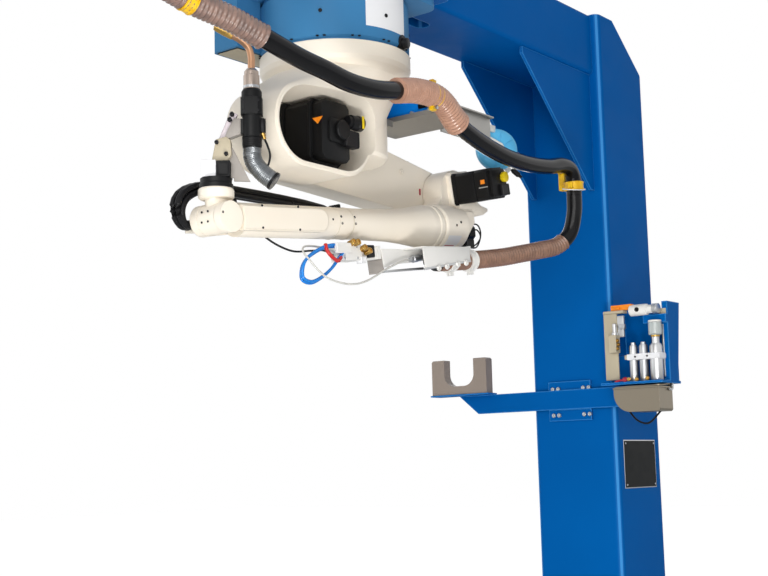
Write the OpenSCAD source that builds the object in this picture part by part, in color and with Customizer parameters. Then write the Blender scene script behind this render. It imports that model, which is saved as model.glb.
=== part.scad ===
// Robot positioner: a mast with a gallows beam that carries a six-axis
// welding robot upside down, with its dress hose, torch rest and torch
// cleaning station. Millimetres, +Z up, the arm hangs towards -X.
// Origin: centre of the column's foot, on the underside of the base plate.

/* [Mast] */
// Overall height above the floor
total_h = 2700; // [2500:10:3400]
// Side of the square column
col_w = 300; // [260:10:340]
// Outer corner radius of the column
col_r = 22; // [10:1:35]
// Side of the square base plate
base_w = 680; // [620:10:900]
// Thickness of the base plate
base_t = 30; // [20:1:40]
// Distance between anchor holes
anchor_pitch = 580; // [540:10:580]
// Diameter of each anchor hole
anchor_d = 26; // [18:1:32]
// Thickness of the foot ribs
rib_t = 12; // [8:1:20]
// Top of the foot ribs above the base plate
rib_h = 190; // [120:10:260]
// Length of the flat at the top of the column, from its front face
top_flat = 102; // [60:1:160]
// Drop of the sloping cap at the back of the column
top_drop = 163; // [100:1:220]

/* [Beam] */
// Width of the beam
beam_w = 250; // [200:5:256]
// Height of the beam
beam_h = 200; // [160:5:240]
// Corner radius of the beam
beam_r = 12; // [4:1:20]
// Distance from the column's centre to the robot's first axis
reach = 1300; // [1260:10:1500]
// How far the beam runs on past the first axis
beam_over = 250; // [230:5:300]
// Thickness of the plate under the beam that takes the robot
mount_t = 25; // [16:1:40]
// Thickness of each knee gusset
gusset_t = 10; // [6:1:16]
// Length of a knee gusset along the beam
gusset_l = 405; // [300:5:420]
// Length of a knee gusset down the column
gusset_h = 385; // [300:5:420]

/* [Robot] */
// Height of the robot's base below the mount plate
robot_base_h = 173; // [160:1:200]
// Radius of the robot's base
robot_base_r = 195; // [180:1:205]
// Side of the foot flange of the robot
foot_w = 400; // [380:5:430]
// Radius of the swivel's upper flange
swivel_r = 197; // [185:1:205]
// Radius of the swivel's drum
drum_r = 132; // [115:1:140]
// Offset of the shoulder axis from the first axis
shoulder_x = 125; // [110:1:140]
// Depth of the shoulder axis below the base's lower face
shoulder_z = 220; // [215:1:230]
// Length between the shoulder and elbow axes
arm_l = 645; // [630:1:680]
// Angle of the lower arm below level, as parked
arm_angle = 5.3; // [4:0.1:7]
// Offset from the elbow axis to the forearm axis
elbow_drop = 95; // [92:1:110]
// Length of the forearm from below the elbow to the wrist axis
forearm_l = 970; // [930:1:990]
// Angle of the forearm below level, as parked
forearm_angle = 6; // [5:0.1:7]
// Radius of the forearm tube at its slender end
forearm_r = 41; // [36:1:44]
// Radius of the wrist
wrist_r = 37; // [34:1:40]

/* [Equipment] */
// Outside diameter of the dress hose
hose_d = 46; // [40:1:50]
// Height of the top of the shelf arm above the floor
shelf_z = 1480; // [1300:10:1600]
// Width of the torch rest
rest_w = 222; // [190:1:240]
// Height of the torch rest
rest_h = 118; // [100:1:140]
// Width of the slot in the torch rest
rest_slot = 120; // [90:1:130]

/* [Hidden] */

// Running gap between bodies that turn on each other
gap = 0.3;
// Fine enough to be taken as true curves
$fn = 64;

// Driving heights and axes
front_x = -col_w / 2;
beam_z = total_h - beam_h;
axis1_x = -reach;
foot_z = beam_z - mount_t;
foot_t = 24;
face_z = foot_z - robot_base_h;
beam_end = axis1_x - beam_over;
axis2 = [axis1_x - shoulder_x, 0, face_z - shoulder_z];
axis3 = axis2 + arm_l * [cos(arm_angle), 0, -sin(arm_angle)];
elbow_front = -10;
// Forearm stations: start and radius of the drive housing, start of the
// bracket under it and its depth below the forearm's axis
drive_s = forearm_l - 133;
drive_r = 65;
bracket_s = forearm_l - 435;
bracket_z = 70;
tray_z = face_z - 137;
// Half the width between the cheeks that hold the wrist
fork_half = 28;
feeder_x = axis1_x + 168;
sheet_x = axis1_x + 555;
axis5 = axis3
  + elbow_drop * [sin(forearm_angle), 0, -cos(forearm_angle)]
  - forearm_l * [cos(forearm_angle), 0, sin(forearm_angle)];

// Colours
mast_blue = "royalblue";
robot_blue = "steelblue";
cream = "oldlace";
black = "#222222";
grey = "silver";
yellow = "gold";
brown = "rosybrown";

// Shared helpers

// Corners of a rectangle centred on the origin with its corners cut off
function cut_square(w, h, c) = [
  [w / 2 - c, h / 2], [c - w / 2, h / 2], [-w / 2, h / 2 - c],
  [-w / 2, c - h / 2], [c - w / 2, -h / 2], [w / 2 - c, -h / 2],
  [w / 2, c - h / 2], [w / 2, h / 2 - c]
];

// A box given by two corners
module slab(a, b) {
  translate(a)
    cube(b - a);
}

// A plate with round corners, lying on XY
module round_plate(size, r, t) {
  linear_extrude(t)
    hull()
      for (x = [-1, 1], y = [-1, 1])
        translate([x * (size[0] / 2 - r), y * (size[1] / 2 - r)])
          circle(r, $fn = 32);
}

// A cylinder along Y, centred on its own length
module y_drum(r, y0, y1) {
  translate([0, y1, 0])
    rotate([90, 0, 0])
      cylinder(r = r, h = y1 - y0);
}

// A cylinder along X
module x_drum(r, x0, x1) {
  translate([x0, 0, 0])
    rotate([0, 90, 0])
      cylinder(r = r, h = x1 - x0);
}

// A profile drawn in X and Z, given thickness along Y
module xz_extrude(y0, y1) {
  translate([0, y1, 0])
    rotate([90, 0, 0])
      linear_extrude(y1 - y0)
        children();
}

// A profile drawn in Y and Z, given thickness along X
module yz_extrude(x0, x1) {
  translate([x0, 0, 0])
    rotate([90, 0, 90])
      linear_extrude(x1 - x0)
        children();
}

// Frames of the moving parts
module at_shoulder() {
  translate(axis2)
    children();
}

module at_lower_arm() {
  translate(axis2)
    rotate([0, arm_angle, 0])
      children();
}

module at_elbow() {
  translate(axis3)
    children();
}

// Origin on the wrist axis, +X back along the forearm
module at_forearm() {
  translate(axis5)
    rotate([0, -forearm_angle, 0])
      children();
}

module at_tool() {
  translate(axis5)
    children();
}

// A tube swept along a list of points
function unit(v) = v / norm(v);
function tangent(p, i) =
  unit(p[min(i + 1, len(p) - 1)] - p[max(i - 1, 0)]);
function side_of(t) =
  abs(t[2]) > 0.98 ? unit(cross(t, [0, 1, 0])) : unit(cross(t, [0, 0, 1]));
function ring(p, i, r, n, shift = 0) =
  let (t = tangent(p, i), u = side_of(t), v = cross(t, u))
  [for (k = [0 : n - 1])
    p[i] + shift * t + r * (cos(360 * k / n) * u + sin(360 * k / n) * v)];
// Points of a smooth curve through the given ones, m steps to each span
function spline_at(a, b, c, d, t) =
  0.5 * ((2 * b) + (c - a) * t + (2 * a - 5 * b + 4 * c - d) * t * t
  + (3 * b - a - 3 * c + d) * t * t * t);
function smooth(p, m) =
  concat(
    [for (i = [0 : len(p) - 2], s = [0 : m - 1])
      spline_at(
        p[max(i - 1, 0)], p[i], p[i + 1], p[min(i + 2, len(p) - 1)], s / m)],
    [p[len(p) - 1]]);

// Rings first to last of the points; the ends lie square to the route and
// are drawn in by half the running gap, so that two lengths never touch
module tube(points, d, n = 10, first = 0, last = -1) {
  end = last < 0 ? len(points) - 1 : last;
  rings = end - first + 1;
  draw_in = function (i) i == first ? gap / 2 : i == end ? -gap / 2 : 0;
  verts = [for (i = [first : end]) each ring(points, i, d / 2, n, draw_in(i))];
  sides = [for (i = [0 : rings - 2], k = [0 : n - 1])
    let (a = i * n + k, b = i * n + (k + 1) % n)
    [a, a + n, b + n, b]];
  head = [for (k = [0 : n - 1]) k];
  tail = [for (k = [n - 1 : -1 : 0]) (rings - 1) * n + k];
  polyhedron(verts, concat([head, tail], sides), convexity = 4);
}

// Mast

module base_plate() {
  color(mast_blue)
    difference() {
      round_plate([base_w, base_w], 20, base_t);
      for (x = [-1, 1], y = [-1, 1])
        translate([x, y, 0] * anchor_pitch / 2 - [0, 0, 1])
          cylinder(d = anchor_d, h = base_t + 2);
    }
}

module foot_ribs() {
  run = (base_w - col_w) / 2 - 20;
  color(mast_blue)
    for (turn = [0 : 90 : 270], side = [-1, 1])
      rotate(turn)
        translate([0, side * col_w / 4, 0])
          xz_extrude(-rib_t / 2, rib_t / 2)
            polygon([
              [col_w / 2, base_t], [col_w / 2 + run, base_t],
              [col_w / 2 + run, base_t + 30],
              [col_w / 2 + 25, base_t + rib_h], [col_w / 2, base_t + rib_h]
            ]);
}

module column() {
  back = col_w / 2;
  color(mast_blue)
    intersection() {
      translate([0, 0, base_t])
        round_plate([col_w, col_w], col_r, total_h - base_t);
      xz_extrude(-col_w, col_w)
        polygon([
          [-back, base_t], [back, base_t], [back, total_h - top_drop],
          [front_x + top_flat, total_h], [-back, total_h]
        ]);
    }
}

module beam() {
  slot_l = 150;
  slot_w = 46;
  slot_deep = 60;
  color(mast_blue)
    difference() {
      yz_extrude(beam_end, front_x)
        translate([0, total_h - beam_h / 2])
          hull()
            for (y = [-1, 1], z = [-1, 1])
              translate([
                y * (beam_w / 2 - beam_r), z * (beam_h / 2 - beam_r)
              ])
                circle(beam_r, $fn = 32);
      translate([axis1_x + foot_w / 2 + 60, 0, beam_z - 1])
        linear_extrude(slot_deep + 1)
          hull()
            for (x = [slot_w / 2, slot_l - slot_w / 2])
              translate([x, 0])
                circle(d = slot_w, $fn = 32);
    }
}

module knee_gussets() {
  nose = 40;
  edge = beam_w / 2 - beam_r;
  color(mast_blue)
    for (y = [-edge, edge - gusset_t])
      xz_extrude(y, y + gusset_t)
        polygon([
          [front_x, beam_z], [front_x - gusset_l, beam_z],
          [front_x - gusset_l, beam_z - nose / 2],
          [front_x - nose / 2, beam_z - gusset_h],
          [front_x, beam_z - gusset_h]
        ]);
}

module mount_plate() {
  color(mast_blue)
    translate([axis1_x, 0, foot_z])
      round_plate([foot_w + 40, foot_w + 40], 15, mount_t);
}

// Robot base

module robot_base() {
  r = robot_base_r;
  h = robot_base_h - foot_t;
  color(robot_blue)
    translate([axis1_x, 0, face_z]) {
      rotate_extrude()
        polygon([
          [0, 0], [r - 7, 0], [r - 7, 6], [r, 12], [r, h - 16],
          [r - 7, h - 9], [r - 7, h], [0, h]
        ]);
      translate([0, 0, h])
        round_plate([foot_w, foot_w], 40, foot_t);
    }
}

module connector_box() {
  color(robot_blue)
    difference() {
      translate([axis1_x, 0, face_z + 13])
        linear_extrude(foot_z - foot_t - face_z - 13)
          polygon([
            [-240, 120], [-60, 120], [-60, 202], [-68, 210], [-232, 210],
            [-240, 202]
          ]);
      translate([axis1_x, 0, face_z])
        cylinder(r = robot_base_r + gap, h = robot_base_h);
      slab(
        [axis1_x - 232, 128, face_z],
        [axis1_x - 160, 202, face_z + 25]);
    }
}

// Shelf, torch rest and cleaning station

module shelf_arm() {
  bar_t = 10;
  pad_t = 8;
  bar_h = 62;
  shelf_t = 5;
  color(mast_blue) {
    slab(
      [front_x - pad_t, -70, shelf_z - bar_h - 36],
      [front_x, 85, shelf_z + 28]);
    yz_extrude(front_x - pad_t - bar_t, front_x - pad_t)
      polygon([
        [-350, shelf_z], [430, shelf_z], [355, shelf_z - bar_h],
        [-350, shelf_z - bar_h]
      ]);
    slab(
      [front_x - pad_t - bar_t - 46, 285, shelf_z],
      [front_x - pad_t, 518, shelf_z + shelf_t]);
  }
}

module torch_rest() {
  rest_t = 36;
  land = 28;
  inner_r = 40;
  flat = rest_slot / 2 - inner_r;
  x0 = front_x - 18 - 40;
  x1 = x0 + rest_t;
  color("#968073")
    translate([0, 292 + rest_w / 2, shelf_z + 5])
      difference() {
        yz_extrude(x0, x1)
          polygon([
            [-rest_w / 2, 0], [rest_w / 2, 0], [rest_w / 2, rest_h - 5],
            [rest_w / 2 - 5, rest_h], [5 - rest_w / 2, rest_h],
            [-rest_w / 2, rest_h - 5]
          ]);
        for (y = [-flat, flat])
          translate([0, y, land + inner_r])
            x_drum(inner_r, x0 - 1, x1 + 1);
        slab([x0 - 1, -flat, land], [x1 + 1, flat, land + inner_r]);
        slab(
          [x0 - 1, -rest_slot / 2, land + inner_r],
          [x1 + 1, rest_slot / 2, rest_h + 1]);
      }
}

module station_frame() {
  x = front_x;
  z = shelf_z;
  color(mast_blue) {
    slab([x - 100, -366, z], [x + 25, -160, z + 8]);
    xz_extrude(-366, -362)
      polygon([
        [x - 43, z + 8], [x + 9, z + 8], [x + 40, z + 250], [x - 43, z + 250]
      ]);
    slab([x - 43, -362, z + 8], [x - 39, -348, z + 250]);
    slab([x + 20, -362, z + 8], [x + 24, -160, z + 236]);
    slab([x - 56, -366, z + 185], [x - 43, -290, z + 210]);
    slab([x - 68, -188, z + 97], [x + 20, -163, z + 222]);
    slab([x - 43, -188, z + 8], [x - 39, -163, z + 97]);
  }
}

module station_cutter() {
  x = front_x;
  z = shelf_z;
  color(grey) {
    slab([x - 72, -209, z + 17], [x - 68, -163, z + 226]);
    slab([x - 76, -233, z + 222], [x - 46, -164, z + 231]);
    slab([x - 74, -262, z + 231], [x - 54, -190, z + 248]);
    translate([x - 64, 0, z + 227]) {
      y_drum(17.5, -312, -254);
      y_drum(13, -330, -312);
      y_drum(16, -350, -330);
    }
    slab([x - 98, -217, z + 99], [x - 72, -190, z + 154]);
  }
}

module station_cylinders() {
  x = front_x - 66;
  z = shelf_z;
  // Distance from the mast's middle plane, then the diameter
  gas = [[-258, 26], [-292, 27], [-334, 39]];
  color(grey) {
    for (g = gas)
      translate([x, g[0], z + 8]) {
        cylinder(d = g[1], h = 112);
        cylinder(d = g[1] * 0.6, h = 120);
      }
    slab([x - 8, -334, z + 66], [x + 8, -258, z + 84]);
    translate([x, -334, z + 132]) {
      cylinder(r = 14, h = 6);
      translate([0, 0, 6])
        cylinder(r = 21, h = 40);
      translate([0, 0, 46])
        cylinder(r = 17, h = 7);
    }
    slab([x - 5, -339, z + 118], [x + 5, -329, z + 134]);
  }
}

// Tray hung on the shelf arm, with one lower corner well rounded
module drip_tray() {
  x0 = front_x - 18 - 88;
  x1 = front_x - 18;
  color("#8a8074") {
    difference() {
      yz_extrude(x0, x1)
        tray_outline(0);
      yz_extrude(x0 + 2, x1 - 2)
        tray_outline(2);
    }
    slab([x0 - 4, -361, shelf_z - 14], [x0, -205, shelf_z - 10]);
    slab([x0 - 4, -361, shelf_z - 14], [x1, -357, shelf_z - 10]);
  }
}

module tray_outline(wall) {
  top = shelf_z - 10 + (wall > 0 ? 1 : 0);
  intersection() {
    hull() {
      translate([-261, shelf_z - 28])
        circle(r = 56 - wall);
      translate([-349, shelf_z - 76])
        circle(r = 8 - wall, $fn = 24);
      translate([-357 + wall, top - 2])
        square([152 - 2 * wall, 2]);
    }
    translate([-360, shelf_z - 90])
      square([160, top - shelf_z + 90]);
  }
}

module nameplate() {
  color("#151515")
    slab([-105, -col_w / 2 - 2, 1167], [100, -col_w / 2, 1313]);
}

// Swivel: round flange, drum and the oblong shoulder that holds the motor

shoulder_front = -105;
shoulder_back = 55;
motor_seat = 30;

// Oblong with its long side along X, centred below the first axis
module shoulder_outline(grow) {
  hull()
    for (x = [-118, 30])
      translate([x, -11])
        circle(r = 92 + grow, $fn = 48);
}

module swivel() {
  top = face_z - gap;
  color(cream)
    difference() {
      union() {
        translate([axis1_x, 0, 0])
          rotate_extrude()
            polygon([
              [0, top], [swivel_r, top], [swivel_r, top - 36],
              [swivel_r - 6, top - 47], [swivel_r - 20, top - 60],
              [drum_r + 22, top - 80], [drum_r + 5, top - 98],
              [drum_r, top - 115], [drum_r, face_z - 262],
              [drum_r - 8, face_z - 270], [0, face_z - 270]
            ]);
        at_shoulder()
          xz_extrude(shoulder_front - 3, shoulder_front)
            shoulder_outline(7);
        hull() {
          translate([axis1_x, 0, top - 58])
            cylinder(r = swivel_r - 22, h = 2, $fn = 48);
          at_shoulder()
            xz_extrude(shoulder_front, shoulder_back)
              shoulder_outline(12);
        }
      }
      at_shoulder()
        xz_extrude(shoulder_front - 60, motor_seat)
          shoulder_outline(0);
      slab(
        axis2 + [-300, shoulder_back, -200],
        axis2 + [500, shoulder_back + 250, 122]);
    }
}

// A square servo motor along Y with its rear towards -Y, seated at y = 0
module servo(w, h, l, stub_d, stub_l) {
  flange_t = 12;
  body_l = l * 0.68;
  ring_t = 7;
  x = w * 0.16;
  xz_extrude(-flange_t, 0)
    polygon(cut_square(w, h, 6));
  xz_extrude(-body_l, -flange_t)
    polygon(cut_square(w - 10, h - 10, 14));
  xz_extrude(-body_l - ring_t, -body_l)
    polygon(cut_square(w - 4, h - 4, 12));
  xz_extrude(-l, -body_l - ring_t)
    polygon(cut_square(w - 16, h - 20, 9));
  translate([x, 0, 0]) {
    xz_extrude(-l - 6, -l)
      polygon(cut_square(stub_d + 10, stub_d + 10, 5));
    y_drum(stub_d / 2, -l - stub_l, -l - 6);
  }
}

module shoulder_motor() {
  color(black)
    at_shoulder()
      translate([0, motor_seat, 0])
        servo(116, 134, 132, 44, 20);
}

module wire_feeder() {
  x = feeder_x;
  z = tray_z;
  color("dodgerblue") {
    difference() {
      xz_extrude(-200, 35)
        polygon([
          [x, z], [x + 60, z], [x + 60, z + 59], [x + 54, z + 65],
          [x + 6, z + 65], [x, z + 59]
        ]);
      slab([x + 12, -201, z + 16], [x + 48, -197, z + 50]);
      slab([x - 1, -188, z + 16], [x + 3, -140, z + 50]);
    }
    slab([x + 60, -40, z], [x + 70, 24, z + 62]);
    translate([0, -8, z + 30]) {
      x_drum(28, x + 70, x + 124);
      x_drum(22, x + 124, x + 140);
    }
  }
}

// Tray bolted to the drum, with the sheet that carries the balancer
module feeder_bracket() {
  x = feeder_x;
  t = 4;
  color(grey) {
    difference() {
      slab([axis1_x + 80, -60, tray_z - 18], [x - 5, 45, tray_z]);
      translate([axis1_x, 0, tray_z - 30])
        cylinder(r = drum_r + gap, h = 60);
    }
    slab([x - 5, -204, tray_z - t], [x + 145, 48, tray_z]);
    slab([x - 5, -204, tray_z], [x - 2, 48, tray_z + 9]);
    slab([x - 5, -204, tray_z], [x + 145, -201, tray_z + 9]);
    xz_extrude(-110 - t / 2, -110 + t / 2)
      polygon([
        [x + 60, tray_z], [x + 145, tray_z], [x + 145, tray_z - 10],
        [sheet_x, tray_z - 10], [sheet_x, tray_z + 75], [x + 60, tray_z + 75]
      ]);
    slab(
      [x + 60, -112 - 14, tray_z + 71],
      [sheet_x, -112, tray_z + 75]);
  }
}

module spring_balancer() {
  x = sheet_x + 47;
  color("skyblue") {
    translate([x, -100, tray_z - 10])
      rotate([0, 0, -40]) {
        rotate([90, 0, 0])
          rotate_extrude()
            polygon([
              [0, -24], [17, -24], [17, -19], [46, -19], [57, -15], [61, -9],
              [61, 9], [57, 15], [46, 19], [17, 19], [17, 24], [0, 24]
            ]);
        for (y = [-28, 24])
          xz_extrude(y, y + 4)
            polygon([
              [-74, 42], [-64, 54], [10, 12], [52, -52], [40, -62], [-10, -12]
            ]);
        translate([-64, 0, 45])
          y_drum(6, -25, 25);
      }
    slab([sheet_x - 8, -108, tray_z + 38], [sheet_x + 34, -102, tray_z + 58]);
  }
}

// A point given along, across and above the forearm's axis
function on_forearm(p) =
  axis5 + [0, p[1], 0]
  + p[0] * [cos(forearm_angle), 0, sin(forearm_angle)]
  + p[2] * [-sin(forearm_angle), 0, cos(forearm_angle)];

// Dress hose: one route, cut into four pieces where the bodies meet. Its
// first length hangs from the beam over the first axis, the next goes with
// the elbow and the last lies in the clamps under the forearm
hose_head = [
  [-300, -70, 120], [-360, -70, 120], [-480, -70, 120], [-650, -100, 118],
  [-790, -130, 72], [-865, -150, -50], [-850, -165, -165],
  [-785, -172, -230], [-692, -180, -258], [-594, -205, -280],
  [-506, -225, -307], [-410, -240, -333], [-340, -254, -348],
  [-260, -262, -362], [-170, -265, -360], [-87, -262, -345], [0, -258, -326],
  [80, -254, -320], [135, -250, -332], [208, -240, -368], [320, -232, -394],
  [451, -225, -410], [580, -218, -409], [700, -212, -396], [780, -208, -378],
  [835, -204, -378], [862, -201, -400], [866, -200, -428], [866, -200, -456],
  [868, -196, -510], [860, -182, -570], [820, -160, -610]
];
hose_bend = [[238, -140, -150], [163, -118, -167], [83, -100, -184]];
clamp_spots = [
  [forearm_l - 71, -82, -104], [forearm_l - 165, -79.5, -106.5]
];
hose_tail = [forearm_l - 215, -76, -108];
route = concat(
  [for (p = hose_head) p + [axis1_x, 0, beam_z]],
  [for (p = hose_bend) p + axis3],
  [for (p = clamp_spots) on_forearm(p)],
  [on_forearm(hose_tail)]
);
hose_line = smooth(route, 2);
// Points of the route where a clip sits or a piece ends
beam_clip = 8;
swivel_start = 16;
swivel_clip = 17;
rear_clip = 27;
rear_start = 28;
elbow_start = 32;
elbow_clips = [35, 36];

// Clip of a given width round the hose at one of its points: a ring with
// raised edges and a pair of split ears
module clip(i, width, wall, turn = 90) {
  t = unit(route[i + 1] - route[i - 1]);
  bore = hose_d / 2 + 0.9;
  ear = bore + wall + 11;
  translate(route[i])
    rotate([0, acos(t[2]), atan2(t[1], t[0])])
      rotate(turn)
        difference() {
          union() {
            cylinder(r = bore + wall, h = width, center = true);
            for (z = [-1, 1])
              translate([0, 0, z * (width / 2 - 3)])
                cylinder(r = bore + wall + 1.5, h = 3, center = true);
            for (x = [-6, 0.6])
              translate([x, -ear, 5 - width / 2])
                cube([5.4, 2 * ear, width - 10]);
          }
          cylinder(r = bore, h = 2 * width, center = true);
        }
}

// Yellow clip round the hose, with a foot on the feeder's corner
module hose_holder() {
  p = route[swivel_clip];
  root = hose_d / 2 + 3;
  edge = feeder_x;
  color(yellow) {
    clip(swivel_clip, 26, 5);
    translate([0, 0, p[2] + 6])
      linear_extrude(14)
        polygon([
          [p[0] - 12, p[1] + root], [p[0] + 12, p[1] + root],
          [p[0] + 12, -212], [p[0] + 24, -200], [edge, -200],
          [edge, -188], [p[0] + 12, -188], [p[0] - 12, -212]
        ]);
  }
}

// Yellow clip at the rear of the swivel, hung from the balancer's rope
module hose_hanger() {
  p = route[rear_clip];
  root = hose_d / 2 + 3;
  color(yellow) {
    clip(rear_clip, 26, 5);
    slab([p[0] - 10, p[1] + root, p[2] - 8], [p[0] + 10, p[1] + 46, p[2] + 44]);
    tube([p + [0, 36, 40], [sheet_x + 96, -141, tray_z - 18]], 6, 8);
  }
}

module hose_swivel() {
  color(black)
    tube(hose_line, hose_d, 10, 2 * swivel_start, 2 * rear_start);
}

module hose_beam() {
  color(black)
    tube(hose_line, hose_d, 10, 0, 2 * swivel_start);
}

module hose_rear() {
  color(brown)
    tube(hose_line, hose_d, 10, 2 * rear_start, 2 * elbow_start);
}

module hose_elbow() {
  color(brown)
    tube(hose_line, hose_d, 10, 2 * elbow_start);
}

// Arm off the beam's end plate that carries the first hose clip
module hose_boom() {
  p = route[beam_clip];
  start = route[0];
  color(mast_blue) {
    slab([beam_end - 10, -45, beam_z + 15], [beam_end, 45, beam_z + 85]);
    translate([0, 0, beam_z + 30])
      linear_extrude(40)
        polygon([
          [beam_end - 10, 20], [p[0] + 12, 20], [p[0] - 20, -12],
          [p[0] - 20, p[1] - 12], [p[0] - 12, p[1] - 20],
          [p[0] + 12, p[1] - 20], [p[0] + 20, p[1] - 12],
          [p[0] + 20, -36], [p[0] + 36, -20], [beam_end - 10, -20]
        ]);
    translate([p[0], p[1], 0]) {
      translate([0, 0, p[2] + 38])
        linear_extrude(beam_z + 30 - p[2] - 38)
          polygon(cut_square(36, 36, 5));
      translate([0, 0, p[2] + 38])
        linear_extrude(6)
          polygon(cut_square(50, 44, 6));
    }
    translate(start) {
      x_drum(36, beam_end - start[0] - 10, beam_end - start[0]);
      x_drum(27, 0, beam_end - start[0] - 10);
      rotate([0, 90, 0])
        translate([0, 0, 14])
          cylinder(r = 34, h = 14, $fn = 6);
    }
  }
}

module hose_clamp_beam() {
  p = route[beam_clip];
  color(yellow) {
    clip(beam_clip, 28, 5, 0);
    slab(
      [p[0] - 14, p[1] - 14, p[2] + hose_d / 2 + 3],
      [p[0] + 14, p[1] + 14, p[2] + 38]);
  }
}

// Lower arm: flat link on the far side

shoulder_hub = 100;
elbow_hub = 70;
arm_t = 80;

module lower_arm() {
  y0 = shoulder_back + gap;
  y1 = y0 + arm_t;
  lean = asin((shoulder_hub - elbow_hub) / arm_l);
  color(cream)
    at_lower_arm()
      difference() {
        union() {
          y_drum(shoulder_hub, y0, y1);
          y_drum(shoulder_hub - 22, y1, y1 + 6);
          translate([arm_l, 0, 0]) {
            y_drum(elbow_hub, y0, y1);
            y_drum(elbow_hub - 17, y1, y1 + 6);
          }
          xz_extrude(y0 + 2, y1 - 3)
            polygon([
              (shoulder_hub - 3) * [sin(lean), cos(lean)],
              [arm_l, 0] + (elbow_hub - 3) * [sin(lean), cos(lean)],
              [arm_l, 0] + (elbow_hub - 3) * [sin(lean), -cos(lean)],
              (shoulder_hub - 3) * [sin(lean), -cos(lean)]
            ]);
        }
        slab([170, y1 - 12, -48], [arm_l - 130, y1, 48]);
      }
}

// Elbow: cross tube for its motor and the round housing of the forearm drive

module elbow() {
  hub_r = 72;
  back = forearm_l - 18;
  color(cream) {
    at_elbow()
      y_drum(hub_r, elbow_front, shoulder_back);
    at_forearm()
      difference() {
        union() {
          rotate([0, 90, 0])
            rotate_extrude()
              polygon([
                [0, drive_s], [drive_r - 9, drive_s],
                [drive_r - 2.5, drive_s + 3], [drive_r, drive_s + 9],
                [drive_r, back - 7], [drive_r - 5, back], [0, back]
              ]);
          translate([forearm_l, 0, 0]) {
            xz_extrude(elbow_front + 2, 50)
              polygon([
                [-116, 22], [-104, 46], [-76, 78], [-64, 100], [34, 100],
                [38, 60], [34, 16], [22, -8], [-18, -40], [-116, -40]
              ]);
            xz_extrude(-45, elbow_front + 2)
              polygon([
                [-116, 24], [-96, 34], [-20, 42], [24, 42], [32, 34],
                [32, 10], [-18, -40], [-116, -40]
              ]);
          }
          slab(
            [drive_s + 20, -30, -bracket_z],
            [forearm_l - 40, 30, -drive_r + 10]);
        }
        slab([drive_s - 10, 50, -100], [forearm_l + 60, 100, 100]);
        slab([back, -30, -60], [forearm_l + 60, 25, 9]);
        translate([forearm_l, 0, elbow_drop])
          rotate([0, forearm_angle, 0])
            slab([-49, -200, -49], [49, elbow_front, 49]);
      }
  }
}

module elbow_motor() {
  color(black)
    at_elbow()
      translate([0, elbow_front, 0])
        servo(96, 96, 135, 36, 22);
}

module roll_motor() {
  color(black)
    at_forearm()
      translate([0, -2.5, -13.5]) {
        yz_extrude(forearm_l - 18, forearm_l - 8)
          polygon(cut_square(55, 45, 4));
        yz_extrude(forearm_l - 8, forearm_l + 26)
          polygon(cut_square(49, 39, 7));
        yz_extrude(forearm_l + 26, forearm_l + 55)
          polygon(cut_square(53, 43, 9));
      }
}

// Folded sheet under the drive housing that carries hose and valves
module hose_bracket() {
  t = 3;
  s = bracket_s;
  e = forearm_l - 10;
  color("gainsboro")
    at_forearm() {
      slab([s + 14, -48, -bracket_z - t], [e, 40, -bracket_z]);
      xz_extrude(-48, -48 + t)
        polygon([
          [s + 14, -bracket_z - t], [s + 20, -131], [s + 285, -119],
          [e - 18, -113], [e, -99], [e, -bracket_z - t]
        ]);
      xz_extrude(-48 + t, 5)
        polygon([
          [s + 14, -bracket_z - t], [s + 20, -131], [s + 23, -131],
          [s + 17, -bracket_z - t]
        ]);
      xz_extrude(-53, -48)
        polygon([
          [s + 8, -131], [s + 200, -123], [s + 200, -120], [s + 8, -128]
        ]);
    }
}

module hose_clamps() {
  color("white") {
    for (i = elbow_clips)
      clip(i, 26, 5);
    at_forearm()
      for (p = clamp_spots)
        slab(
          [p[0] - 13, p[1] + hose_d / 2 + 3, p[2] - 10],
          [p[0] + 13, -48, p[2] + 10]);
  }
}

module valve_block() {
  s = bracket_s;
  color("whitesmoke")
    at_forearm() {
      slab([s - 130, -45, -100], [s - 65, 5, -60]);
      slab([s - 65, -38, -92], [s + 14, -2, -66]);
      slab([s + 2, -45, -96], [s + 14, 5, -62]);
    }
}

// Air line looping under the valves, in the forearm's own frame
route_air = [
  [404.8, -25, -78], [390, -25, -78], [375, -25, -78], [325, -36, -68], [275, -44, -76],
  [242, -50, -112], [262, -54, -146], [300, -54, -154], [345, -50, -140],
  [385, -38, -135], [418, -29, -136], [424, -28, -124], [424, -28, -112],
  [424, -28, -100.3]
];

module air_lines() {
  color("dodgerblue")
    at_forearm()
      tube(smooth(route_air, 2), 8, 8);
}

// Forearm

module forearm() {
  r = forearm_r;
  color(cream)
    at_forearm()
      difference() {
        rotate([0, 90, 0])
          rotate_extrude()
            polygon([
              [0, -10], [r, -10], [r, 399], [r - 1.5, 399], [r - 1.5, 401],
              [r, 401], [r, 454], [r - 1.5, 454], [r - 1.5, 456], [r, 456],
              [r, 500], [44, 640], [50, 710], [56, 760], [60, 790],
              [60, drive_s - 24], [62.5, drive_s - 22], [62.5, drive_s - 6],
              [60, drive_s - 4], [60, drive_s - gap], [0, drive_s - gap]
            ]);
        slab([-60, -fork_half, -60], [60, fork_half, 60]);
      }
  color(cream)
    at_forearm() {
      for (y = [-50, fork_half])
        y_drum(wrist_r, y, y + 50 - fork_half);
      hull() {
        y_drum(wrist_r - 1, fork_half, 48);
        slab([120, fork_half, -26], [130, 31, 26]);
      }
      y_drum(wrist_r - 10, 50, 54);
      xz_extrude(30, 63)
        polygon([[600, 0], [620, 0], [620, 10], [616, 14], [604, 14], [600, 10]]);
      xz_extrude(50, 94)
        polygon([[-12, -22], [14, -22], [14, -2], [8, 4], [-12, 4]]);
    }
}

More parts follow.
